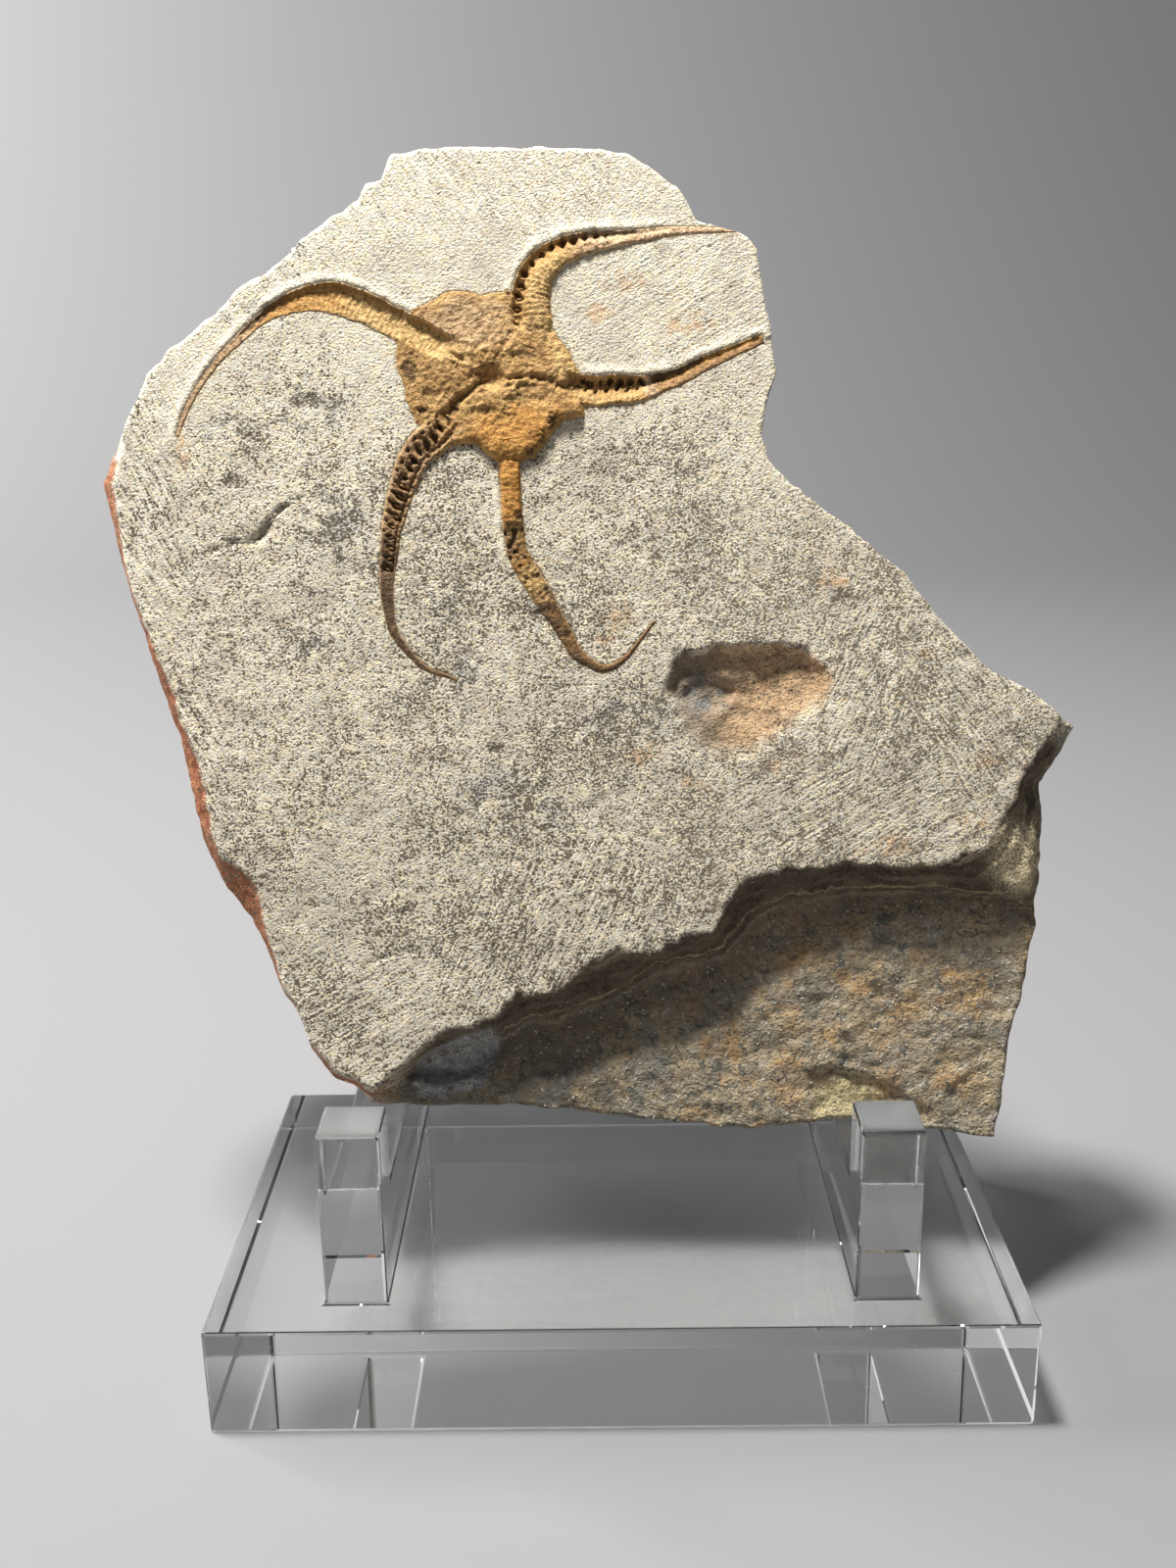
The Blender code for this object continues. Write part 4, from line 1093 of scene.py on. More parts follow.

# %% Stains, painted shade and painted highlights on the arms
class ArmSpots:
    """Where each point lies on an arm, and how dark its pits are painted: painted shade."""

    def __init__(self, found, xy):
        self.across, self.walked, self.half = found["across"], found["walked"], found["half"]
        self.ribs, self.pits = found["ribs"], 0.85 * found["pits"]
        self.ragged = ripple(flat(xy), 1.0, 3, 45)

    def along(self, first, last, fade=1.5):
        """1 between two places along the arm, in mm, and 0 beyond its soft ends."""
        return smooth(self.walked, first - fade, first) * (1.0 - smooth(self.walked, last, last + fade))


def stains_and_painted_light_upper_left(s):
    wall = smooth(s.across + 0.12 * s.ragged, 0.42, 0.72) * smooth(s.half, 0.4, 1.2)
    fibres = 0.5 + 0.5 * np.cos(s.walked * math.tau / 0.5 + 7.0 * s.ragged)
    left_edge = 0.6 * smooth(-s.across, 0.68, 0.92) * s.along(10.0, 19.0)
    # Partly painted shade: the steep upper wall of the groove is painted dark brown.
    dark = np.maximum(wall * (0.22 + 0.25 * fibres), left_edge)
    dark = np.maximum(dark, 0.6 * smooth(s.across + 0.4 * s.ragged, 0.0, 0.6) * s.along(26.0, 60.0, 4.0))
    dark = np.maximum(dark, 0.75 * s.along(28.5, 30.5, 1.5) * smooth(s.across + s.ragged, -0.8, 0.2))
    gold = 0.85 * (1.0 - wall) * (1.0 - smooth(s.walked, 17.0, 25.0))
    orange = 0.6 * s.along(19.0, 60.0, 4.0)
    pale = 0.7 * s.along(33.0, 60.0, 5.0)
    return dict(dark=dark, gold=gold, orange=orange, pale=pale)


def stains_and_painted_light_upper_right(s):
    strip = smooth(s.across, -0.25, 0.05) * (1.0 - smooth(s.across, 0.75, 0.95))
    strip = strip * (1.0 - smooth(s.walked, 13.0, 18.0))
    gold = 0.75 * strip
    # Painted shade: the pits, and the troughs between the ribs, are painted dark.
    dark = 0.75 * s.pits
    dark = np.maximum(dark, 0.45 * strip * smooth(-s.ribs + s.ragged, 0.4, 1.0))
    dark = np.maximum(dark, 0.55 * smooth(-s.across + 0.3 * s.ragged, 0.1, 0.6) * s.along(16.5, 24.0, 3.0))
    pale = 0.75 * s.along(19.0, 60.0, 5.0)
    return dict(dark=dark, gold=gold, pale=pale)


def stains_and_painted_light_right(s):
    cavity = smooth(s.ragged, 0.05, 0.40) * smooth(-s.across, 0.0, 0.3)
    cavity = cavity * (1.0 - smooth(-s.across, 0.75, 1.0)) * s.along(1.5, 11.5)
    # Painted shade: the pits and the cavities are painted dark.
    dark = np.maximum(s.pits, cavity)
    deeper = 0.45 * cavity
    dark = np.maximum(dark, 0.9 * smooth(-s.across + 0.5 * s.ragged, 0.1, 0.5) * s.along(13.5, 20.0, 1.2))
    dark = np.maximum(dark, 0.35 * smooth(-s.across + 0.4 * s.ragged, 0.3, 0.7) * s.along(20.0, 60.0))
    gold = 0.6 * smooth(s.across, 0.0, 0.4) * s.along(0.0, 12.0)
    pale = 0.9 * s.along(12.2, 13.0, 0.6)
    dusky = 0.6 * s.along(13.0, 60.0) * smooth(s.across, -0.3, 0.2)
    orange = 0.5 * s.along(13.0, 60.0)
    return dict(dark=dark, gold=gold, orange=orange, pale=pale, dusky=dusky, deeper=deeper)


def stains_and_painted_light_lower_left(s):
    crevice = 1.0 - smooth(np.abs(s.across + 0.58 + 0.1 * s.ragged), 0.06, 0.20)
    crevice = crevice * (1.0 - smooth(s.walked, 20.0, 30.0))
    cavity = smooth(s.ragged, 0.25, 0.6) * (1.0 - smooth(np.abs(s.across), 0.5, 0.8)) * s.along(0.5, 20.0)
    deeper = 0.4 * crevice + 0.35 * cavity
    # Painted shade: the pits, the crevice along the arm and the cavities are painted dark.
    dark = np.maximum(0.75 * s.pits, np.maximum(0.5 * crevice, 0.6 * cavity))
    tail = 1.0 - smooth(np.abs(s.across - 0.2 * s.ragged), 0.75, 1.2)
    dark = np.maximum(dark, (0.70 + 0.25 * s.ragged) * s.along(21.0, 46.0, 4.0) * tail)
    dusky = 0.75 * s.along(8.0, 60.0, 8.0)
    gold = 0.6 * smooth(np.abs(s.across), 0.60, 0.80) * s.along(0.0, 20.0)
    return dict(dark=dark, gold=gold, dusky=dusky, deeper=deeper)


def stains_and_painted_light_bottom(s):
    orange = (1.0 - smooth(s.walked + 0.5 * s.ragged, 10.4, 11.6)) + s.along(16.2, 16.9, 0.4)
    gold = 0.4 * s.along(17.5, 22.0)
    cavity = smooth(s.ragged, 0.08, 0.42) * s.along(11.3, 17.5, 3.0)
    deeper = 0.35 * cavity
    # Painted shade in the pits and cavities; the stretch from 11 to 17 mm is darker in its own colour.
    dark = np.maximum(s.pits, 0.45 * s.along(11.0, 17.0, 3.0) + 0.40 * cavity)
    # Painted highlight and shadow at the break 23 mm along: a pale line on its lit edge, then a dark line on
    # its shaded side.
    pale = 0.9 * s.along(22.7, 23.0, 0.3) * smooth(s.across + 0.4 * s.ragged, -0.9, 0.2)
    dark = np.maximum(dark, 0.8 * s.along(23.5, 23.9, 0.3))
    blotches = smooth(s.ragged + 0.5 * s.across, -0.1, 0.3)
    dark = np.maximum(dark, 0.6 * smooth(s.ragged - 0.4 * s.across, 0.0, 0.4) * s.along(17.0, 23.0, 2.0))
    dark = np.maximum(dark, (0.50 + 0.35 * blotches) * s.along(23.5, 31.0, 1.5))
    dark = np.maximum(dark, (0.52 + 0.33 * smooth(s.across, -0.3, 0.3)) * s.along(31.0, 60.0, 2.0))
    orange = np.maximum(orange, 0.7 * s.along(24.0, 60.0, 3.0))
    dusky = 0.45 * s.along(23.0, 60.0, 5.0)
    return dict(dark=dark, gold=gold, orange=orange, pale=pale, dusky=dusky, deeper=deeper)


MARKS = ("dark", "gold", "orange", "pale", "dusky", "deeper")
STAINS_AND_PAINTED_LIGHT = {"upper_left": stains_and_painted_light_upper_left, "upper_right": stains_and_painted_light_upper_right, "right": stains_and_painted_light_right,
          "lower_left": stains_and_painted_light_lower_left, "bottom": stains_and_painted_light_bottom}


def arm_marks(arm, found, xy):
    """How dark, golden, orange, pale and dusky each point of an arm is, and how much deeper it lies."""
    marks = STAINS_AND_PAINTED_LIGHT[arm.name](ArmSpots(found, xy))
    return [marks.get(mark, 0.0) for mark in MARKS]


print("each arm has its own stains")

# %% Build the animal
STAR_FLOOR = 2.7  # mm, under the animal, well inside the stone
RIM_STEP = 0.04  # mm, how far the rim stands over the stone


def star_heights():
    disc = disc_relief(star_xy)
    in_disc = smooth(disc["depth"], -0.2, 0.9)
    height = disc["height"] * in_disc
    pinkish = 1.0 - smooth(oval(star_xy, (-18.5, 108.6), (7.0, 4.0), 0.0, 0.3, 7), 0.5, 1.1)
    glow = 1.0 - smooth(oval(star_xy, (-12.5, 93.6), (7.0, 4.2), 0.3, 0.3, 8), 0.5, 1.2)
    rim_gold = 1.0 - smooth(oval(star_xy, (-5.2, 104.2), (2.6, 4.2), 0.5, 0.25, 9), 0.5, 1.1)
    marks = np.array([disc["dark"], np.maximum(disc["gold"], 0.8 * rim_gold), 0.9 * glow, 0.4 * pinkish,
                      np.zeros(len(star_xy))]) * in_disc
    depth = disc["depth"].copy()
    body = 2.2 * in_disc
    for arm in arms:
        found = arm_relief(arm, star_xy)
        inside = smooth(found["depth"], -0.25, 0.1)
        fade = smooth(found["walked"], 0.5, 4.0) * (1.0 - smooth(np.abs(found["across"]), 0.7, 1.0))
        weight = inside * np.where(disc["depth"] > 0, np.maximum(fade, 1.0 - in_disc), 1.0)
        *painted, deeper = arm_marks(arm, found, star_xy)
        painted = np.array([np.broadcast_to(mark, weight.shape) for mark in painted])
        height = height * (1 - weight) + (found["height"] - deeper) * weight
        marks = marks * (1 - weight) + painted * weight
        if arm.name == "upper_left":  # its golden floor runs on into the disc
            marks[1] = np.maximum(marks[1], disc["gold"] * in_disc * (1.0 - marks[0]))
        depth = np.maximum(depth, found["depth"])
        body = np.maximum(body, found["half"] * inside)
    rough = 0.12 * ripple(flat(star_xy), 1.9, 4, 42) + 0.09 * ripple(flat(star_xy), 0.6, 3, 43)
    height = height + rough * smooth(body, 0.2, 1.2)
    height = np.where(body < 0.6, np.maximum(height, 0.05), height)
    inner = smooth(depth, 0.0, 0.3)
    stone = front_height(star_xy, depth)[0]
    top = stone + RIM_STEP + height * inner
    top = np.maximum(top, STAR_FLOOR + 0.25)
    masks = dict(zip(MARKS, np.clip(marks, 0.0, 1.0)))
    masks["inside"] = np.clip(depth / np.clip(0.55 * body, 0.12, 1.2), 0.0, 1.0)
    return top, masks


def build_star():
    top, masks = star_heights()
    points = np.column_stack((star_xy, top))
    rim = star_rim
    floor_xy, floor_triangles, went = fill(star_xy[rim].tolist(), [], [list(range(len(rim)))])
    floor = np.column_stack((floor_xy, np.full(len(floor_xy), STAR_FLOOR)))
    first = len(points)
    faces = list(star_triangles)
    for i in range(len(rim)):
        j = (i + 1) % len(rim)
        faces.append((rim[j], rim[i], first + went[i], first + went[j]))
    faces += [(first + a, first + c, first + b) for a, b, c in floor_triangles]
    return np.vstack((points, floor)), faces, masks


star_points, star_faces, star_masks = build_star()
print("animal:", len(star_points), "points, from", round(float(star_points[:, 2].min()), 2), "to",
      round(float(star_points[:, 2].max()), 2), "mm")

# %% [markdown]
# ## Where each colour goes
#
# A piece of sandstone is many colours: crust, rust, blue-grey flakes, orange stains. None of them is an
# image. Each is a number per point of the mesh, 1 where the colour lies and 0 elsewhere, and the finish
# reads it later.

# %% Masks for the stone's colours
LEFT_SIDE = (math.radians(-119.5), math.radians(158.0))  # the crusted side lies beyond these angles
# Painted highlight: the facet below lies in shade but is painted pale yellow-tan, as if lit.
PAINTED_LIGHT_FACET = ((54.8, 36.5), (5.0, 5.5))  # the pale facet at the right end of the ledge: centre and radii
BLUE_PATCHES = (
    ((-46.5, 110.0), (4.0, 2.2)), ((-41.3, 118.3), (4.0, 1.5)), ((-39.1, 97.1), (5.0, 3.5)),
    ((-18.8, 61.8), (2.4, 4.0)), ((2.0, 55.0), (6.0, 3.0)), ((-50.9, 94.7), (3.5, 2.0)),
    ((-13.0, 45.0), (9.0, 5.0)), ((12.6, 59.0), (3.6, 3.0)), ((-36.0, 82.0), (5.0, 6.0)),
    ((3.0, 57.0), (6.0, 2.0)), ((-22.0, 72.0), (4.0, 3.0)), ((-40.0, 66.0), (4.0, 2.5)),
)
ORANGE_PATCHES = (
    ((11.1, 47.0), (2.6, 1.6)), ((22.9, 49.5), (2.6, 1.7)), ((42.0, 64.3), (1.6, 1.0)),
    ((49.8, 49.8), (2.0, 1.2)), ((2.7, 113.2), (3.4, 1.6)), ((-1.2, 109.4), (2.6, 1.6)),
    ((10.4, 108.0), (4.0, 1.6)), ((29.6, 74.2), (3.0, 1.6)), ((40.0, 75.4), (2.6, 1.6)),
    ((4.0, 51.0), (3.0, 2.0)), ((0.6, 69.3), (2.6, 2.2)), ((-56.5, 92.0), (1.2, 3.0)),
    ((-1.0, 66.8), (1.8, 1.6)), ((10.4, 127.4), (2.2, 1.4)), ((36.5, 38.5), (5.0, 1.6)),
    ((48.0, 41.5), (3.0, 1.6)),
)
BRUSHED = (  # direction of the streaks in degrees, and the ovals that carry them
    (118.0, (((-61.0, 86.0), (7.0, 28.0)), ((-57.0, 52.0), (6.0, 18.0)))),
    (30.0, (((-34.0, 15.0), (14.0, 12.0)), ((14.0, 112.0), (20.0, 12.0)), ((34.0, 44.0), (20.0, 9.0)))),
    (64.0, (((34.0, 58.0), (9.0, 18.0)), ((-6.0, 30.0), (18.0, 10.0)), ((-16.0, 22.0), (12.0, 8.0)))),
    (125.0, (((48.0, 55.0), (9.0, 15.0)), ((-47.0, 118.0), (18.0, 9.0)), ((-18.0, 126.0), (30.0, 9.0)))),
)


def patches(xy, ovals, seed, ragged=0.35):
    """1 inside any of the ovals and 0 well outside them, with ragged edges."""
    found = np.zeros(len(xy))
    for number, (centre, radii) in enumerate(ovals):
        inside = 1.0 - smooth(oval(xy, centre, radii, 0.0, ragged, seed + number), 0.45, 1.25)
        found = np.maximum(found, inside)
    return found


def colour_masks():
    """Masks for every point of the slab: front, sides and back."""
    xy, level = slab_points[:, :2], slab_points[:, 2]
    angles, far = around(xy, HUB)
    torn = angles + 0.07 * ripple(slab_points, 4.0, 4, 29)
    left = smooth(-torn, -LEFT_SIDE[0] - 0.03, -LEFT_SIDE[0] + 0.03)
    left = left + smooth(torn, LEFT_SIDE[1] - 0.04, LEFT_SIDE[1] + 0.02)
    outside_face = smooth(far - rings(angles)[0][FACE], 0.1, 0.5)
    number = np.arange(len(slab_points))
    on_front = number < len(front_xy)
    beyond_front = (~on_front).astype(float)
    on_back = number >= len(front_xy) + SIDE_ROWS * len(edge_angles)
    inward = rings(angles)[0][REAR] - far + 1.6 * ripple(flat(xy), 5.0, 3, 28)
    crusted = np.maximum(outside_face * (level < 4.4), beyond_front)
    crusted = crusted * np.where(on_back, 1.0 - smooth(inward, 0.0, 3.5), 1.0)
    masks = {"crust": np.clip(left, 0, 1) * crusted}
    masks["broken"] = beyond_front * smooth(FACE_LEVEL - level, 0.3, 2.5)
    masks["blue"] = patches(xy, BLUE_PATCHES, 60)
    # Painted highlight: 1 on the facet at the right end of the ledge, which is painted pale as if lit.
    masks["painted_light_facet"] = patches(xy, (PAINTED_LIGHT_FACET,), 70, 0.2) * on_front
    # Painted shade: 1 on the lower layer near the foot of the ledge, where the ledge's shadow falls, 0 from
    # 10 mm on.
    masks["under"] = (1.0 - smooth(far - rings(angles)[0][FOOT], 1.0, 10.0)) * on_front
    # The slate under the broken corner runs a little further down than the break itself.
    slate_painted_lighter = dict(hub=FLAKE["hub"], edge=[(px, py - 2.2 * (py < 9.0)) for px, py in FLAKE["edge"]])
    masks["slate_painted_lighter"] = within(xy, slate_painted_lighter, 0.05, 27) * on_front
    masks["stain"] = patches(xy, ORANGE_PATCHES, 80)
    for i, (_, ovals) in enumerate(BRUSHED):
        masks[f"brushed_{i}"] = patches(xy, ovals, 100 + 10 * i, 0.25)
    return masks


slab_masks.update(colour_masks())
print("masks on the slab:", ", ".join(slab_masks))


# %% Turn points and faces into objects
def make_piece(name, points, faces, masks, slot, *nodes):
    """A smooth mesh in the room that stands for CAD nodes, with a number per point for each mask."""
    mesh = bpy.data.meshes.new(name)
    mesh.from_pydata(to_room(points).tolist(), [], faces)
    bm = bmesh.new()
    bm.from_mesh(mesh)
    bmesh.ops.recalc_face_normals(bm, faces=bm.faces)
    bmesh.ops.triangulate(bm, faces=[f for f in bm.faces if len(f.verts) > 3])
    bm.to_mesh(mesh)
    bm.free()
    for label, values in masks.items():
        layer = mesh.attributes.new(label, "FLOAT", "POINT")
        padded = np.zeros(len(mesh.vertices), np.float32)
        padded[:len(values)] = values
        layer.data.foreach_set("value", padded)
    mesh.shade_smooth()
    piece = add_object(name, mesh)
    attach(piece, "root")
    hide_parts(*nodes)
    loose = sum(1 for e in mesh.edges if e.is_loose)
    print(f"{name}: {len(mesh.polygons)} triangles, {loose} loose edges")
    return piece


slab = make_piece("slab_of_sandstone", slab_points, slab_faces, slab_masks, "sandstone", "sandstone_slab")
star = make_piece("brittle_star_fossil", star_points, star_faces, star_masks, "fossil", "brittle_star")

# %% [markdown]
# ## Finishes
#
# Sandstone and fossil share two effects, so each is built once as a group: grains of sand, with dark gaps
# between them, and the streaks that a wire brush leaves. Patterns are read in the slab's own frame and in
# millimetres, so a grain of a third of a millimetre is simply 0.33.

# %% Shared effects
def sand_grain_group():
    tree, w, given, out = new_group(
        "sand_grain",
        {"Vector": ("Vector", None), "Grain": ("Float", 0.33), "Gaps": ("Float", 0.5)},
        {"Gap": "Float", "Tone": "Float", "Speck": "Float", "Height": "Float"})
    scaled = w.node("ShaderNodeVectorMath", {0: given["Vector"], "Scale": 1.0}, operation="SCALE")
    w.link(w.math("DIVIDE", 1.0, given["Grain"]), scaled.inputs["Scale"])
    vector = scaled.outputs[0]
    blob = w.noise(vector, 1.5, 1.0, 0.6, 0.6)
    cluster = w.noise(vector, 5.0, 3.0, 0.65)
    mixed = w.plus(w.times(blob, 0.78), w.times(cluster, 0.22))
    threshold = w.rise(given["Gaps"], 0.0, 1.0, 0.30, 0.56)
    gap = w.rise(w.minus(threshold, mixed), -0.030, 0.035)
    cell = w.cells(vector, 1.8)
    colours = w.node("ShaderNodeSeparateColor", {"Color": cell.outputs["Color"]}).outputs
    w.link(gap, out["Gap"])
    w.link(colours[0], out["Tone"])
    w.link(w.rise(colours[1], 0.86, 0.93), out["Speck"])
    w.link(mixed, out["Height"])
    return tree


def brush_group():
    tree, w, given, out = new_group(
        "brush_streaks",
        {"Vector": ("Vector", None), "Turn": ("Float", 0.0), "Width": ("Float", 0.5)},
        {"Streak": "Float"})
    turned = w.node("ShaderNodeMapping", {"Vector": given["Vector"]})
    turn = w.node("ShaderNodeCombineXYZ", {"Z": w.times(given["Turn"], -1.0)}).outputs[0]
    w.link(turn, turned.inputs["Rotation"])
    stretched = w.place(turned.outputs[0], scale=(0.11, 1.0, 0.3))
    scaled = w.node("ShaderNodeVectorMath", {0: stretched, "Scale": 1.0}, operation="SCALE")
    w.link(w.math("DIVIDE", 1.0, given["Width"]), scaled.inputs["Scale"])
    w.link(w.noise(scaled.outputs[0], 1.0, 2.0, 0.5), out["Streak"])
    return tree


sand_grain = sand_grain_group()
brush_streaks = brush_group()
print("groups:", [g.name for g in bpy.data.node_groups])


# %% Coordinates in the slab's frame
def slab_coordinates(wiring):
    """The slab's own millimetres, from the object's coordinates in metres."""
    flat_down = SLAB_POSE.inverted()
    place = wiring.node("ShaderNodeTexCoord").outputs["Object"]
    return wiring.place(place, turn=tuple(flat_down.to_euler()), scale=(1 / MM,) * 3,
                        move=tuple(flat_down.translation / MM))


def separate(wiring, vector):
    return wiring.node("ShaderNodeSeparateXYZ", {0: vector}).outputs


print("patterns are read in slab millimetres")

# %% [markdown]
# ### Sandstone
#
# The worked face is cream where the brush cleaned it well and greyer lower down, where more dark gaps are
# left between the grains. The broken places are brown, the crust on the left side is the colour of a roof
# tile, and the hollow is rusty. Painted shade darkens the wall under the ledge, the lower layer near its foot
# and the crack, and painted highlights lighten the lip beside the animal, a facet at the right end of the
# ledge and the slate under the broken corner. Masks from the mesh say where each begins, and noise breaks up
# their edges.
# One long tree would be hard to read, so each kind of surface gets a function of its own, and the material
# lays them over each other.

# %% Layers of colour
def spots(w, under, over, vector, size, edge, most, detail=4.0, roughness=0.6, distortion=0.0):
    """Lays a colour over the one under it where a noise of this size rises past the edge."""
    return w.mix(w.rise(w.noise(vector, size, detail, roughness, distortion), *edge, 0.0, most), under, over)


def layers(w, under, *steps):
    """Lays colours over each other. Each step is a share and a colour."""
    for share, over in steps:
        under = w.mix(share, under, over)
    return under


print("colours are laid over each other in layers")


# %% What the sandstone's colours share
def brush_marks(w, s):
    """The streaks. Each point takes the direction whose oval is strongest there."""
    turn, strongest = math.radians(BRUSHED[0][0]), w.attribute("brushed_0")
    for i, (degrees, _) in list(enumerate(BRUSHED))[1:]:
        here = w.attribute(f"brushed_{i}")
        stronger = w.math("GREATER_THAN", here, strongest)
        turn = w.plus(turn, w.times(stronger, w.minus(math.radians(degrees), turn)))
        strongest = w.math("MAXIMUM", here, strongest)
    streak = use_group(w, brush_streaks, {"Vector": s.place, "Turn": turn, "Width": STREAK})["Streak"]
    not_worked = w.math("MAXIMUM", s.rough, s.hollow)
    return w.times(w.times(w.minus(streak, 0.5), strongest), w.minus(1.0, not_worked, clamp=True))


def gap_share(w, s):
    """How much of the stone is dark gaps: few on the clean top of the face, more lower down."""
    gaps = w.rise(s.low, 0.0, 1.0, 0.14, 0.635)
    fewer = w.times(w.rise(s.x, -10.0, -30.0, 0.0, 0.05), w.rise(s.y, 95.0, 62.0))
    gaps = w.minus(gaps, w.plus(fewer, w.rise(s.x, -42.0, -58.0, 0.0, 0.07)))
    drift = w.noise(w.place(s.place, move=(5.0, 1.0, 4.0)), 11.0, 4.0, 0.6)
    gaps = w.plus(gaps, w.rise(drift, 0.40, 0.62, -0.10, 0.08))
    gaps = w.plus(gaps, w.times(w.minus(s.small, 0.5), 0.9))
    gaps = w.plus(gaps, w.times(s.blue, 0.12))
    # Fewer dark gaps on the lip beside the animal, as part of its painted highlight.
    gaps = w.minus(w.minus(gaps, w.times(s.streaks, 1.05)), w.times(s.lip, 0.45))
    gaps = w.minus(w.plus(gaps, w.times(s.chip, 0.4)), w.times(s.hollow, 0.22))
    return w.times(gaps, w.minus(1.0, w.times(s.rough, 0.45)))


def stone_patterns(w):
    """The places, noises and masks that several of the colours use."""
    s = SimpleNamespace(place=slab_coordinates(w))
    s.x, s.y, s.z = separate(w, s.place)
    s.mid, s.small = w.noise(s.place, 5.0, 4.0, 0.65), w.noise(s.place, 1.6, 3.0, 0.6)
    s.hollow, s.lip, s.chip = w.attribute("hollow"), w.attribute("lip"), w.attribute("chip")
    s.rough = w.math("MAXIMUM", w.attribute("lower"), w.attribute("broken"))
    s.low = w.plus(w.rise(s.y, 129.0, 70.0), w.times(w.minus(w.noise(s.place, 30.0, 3.0), 0.5), 1.3))
    s.low = w.plus(s.low, w.times(w.minus(s.mid, 0.5), 0.8), clamp=True)
    s.blue = w.times(w.attribute("blue"), w.rise(w.plus(s.mid, s.small), 0.92, 1.12))
    s.streaks = brush_marks(w, s)
    s.grain = use_group(w, sand_grain, {"Vector": s.place, "Grain": FINE_GRAIN, "Gaps": gap_share(w, s)})
    s.coarse = use_group(w, sand_grain, {"Vector": s.place, "Grain": COARSE_GRAIN, "Gaps": 0.5})
    return s


STREAK, FINE_GRAIN, COARSE_GRAIN = 0.36, 0.215, 0.62  # mm
print("grain of", FINE_GRAIN, "and", COARSE_GRAIN, "mm, streaks of", STREAK, "mm")


# %% The worked face
def worked_face(w, s):
    tone = s.grain["Tone"]
    face = layers(
        w, w.mix(s.low, (0.93, 0.87, 0.70), (0.87, 0.80, 0.64)),
        (w.rise(s.x, -5.0, 25.0, 0.0, 0.12), (0.60, 0.54, 0.42)),
        (w.rise(s.y, 62.0, 35.0, 0.0, 0.15), (0.60, 0.54, 0.42)),
        (w.rise(tone, 0.60, 0.75, 0.0, 0.5), (0.92, 0.78, 0.47)),
        (w.rise(tone, 0.30, 0.18, 0.0, 0.5), (0.60, 0.58, 0.53)),
        (w.times(s.grain["Speck"], 0.45), (0.62, 0.42, 0.24)))
    face = spots(w, face, (0.60, 0.53, 0.43), s.place, 9.0, (0.50, 0.66), 0.45)
    face = spots(w, face, (0.60, 0.52, 0.42), s.place, 3.6, (0.56, 0.66), 0.5, 4.0, 0.7)
    stain = w.times(w.attribute("stain"), w.rise(w.noise(s.place, 1.3, 3.0, 0.7), 0.40, 0.60))
    beside = w.rise(w.attribute("beside"), 0.55, 0.0)
    halo = w.times(beside, w.rise(w.noise(s.place, 0.9, 3.0, 0.7), 0.42, 0.60))
    chipped = w.times(s.chip, w.rise(s.small, 0.36, 0.6, 0.3, 0.9))
    return layers(
        w, face,
        (w.times(s.blue, 0.45), (0.36, 0.40, 0.43)), (w.times(stain, 0.75), (0.72, 0.45, 0.25)),
        # Painted highlight: the lip beside the animal is painted cream; the brown halo beside it is a real
        # stain.
        (w.times(s.lip, 0.6), (0.97, 0.88, 0.68)), (w.times(halo, 0.7), (0.42, 0.27, 0.12)),
        (w.times(chipped, 0.5), (0.36, 0.34, 0.32)))


# %% The broken ledge, the sides and the lower layer
def ledge_and_sides(w, s):
    layered = w.noise(w.place(s.place, scale=(0.25, 0.25, 2.2)), 1.6, 4.0, 0.6)
    sides = w.mix(w.rise(layered, 0.3, 0.7), (0.34, 0.28, 0.20), (0.60, 0.52, 0.39))
    bed = w.math("ABSOLUTE", w.minus(w.plus(s.z, w.times(s.mid, 0.8)), 2.35))
    # Partly painted shade: the broken wall under the ledge is painted near-black brown, far darker than the
    # broken sides; its light bed line is real.
    wall = layers(
        w, w.mix(w.rise(layered, 0.38, 0.62), (0.070, 0.052, 0.036), (0.20, 0.155, 0.10)),
        (w.rise(bed, 0.32, 0.08, 0.0, 0.8), (0.44, 0.35, 0.20)),
        # Painted highlight: the facet at the right end of the ledge is painted pale yellow.
        (w.times(w.attribute("painted_light_facet"), w.rise(s.small, 0.30, 0.55, 0.3, 1.0)), (0.92, 0.78, 0.50)))
    return wall, sides


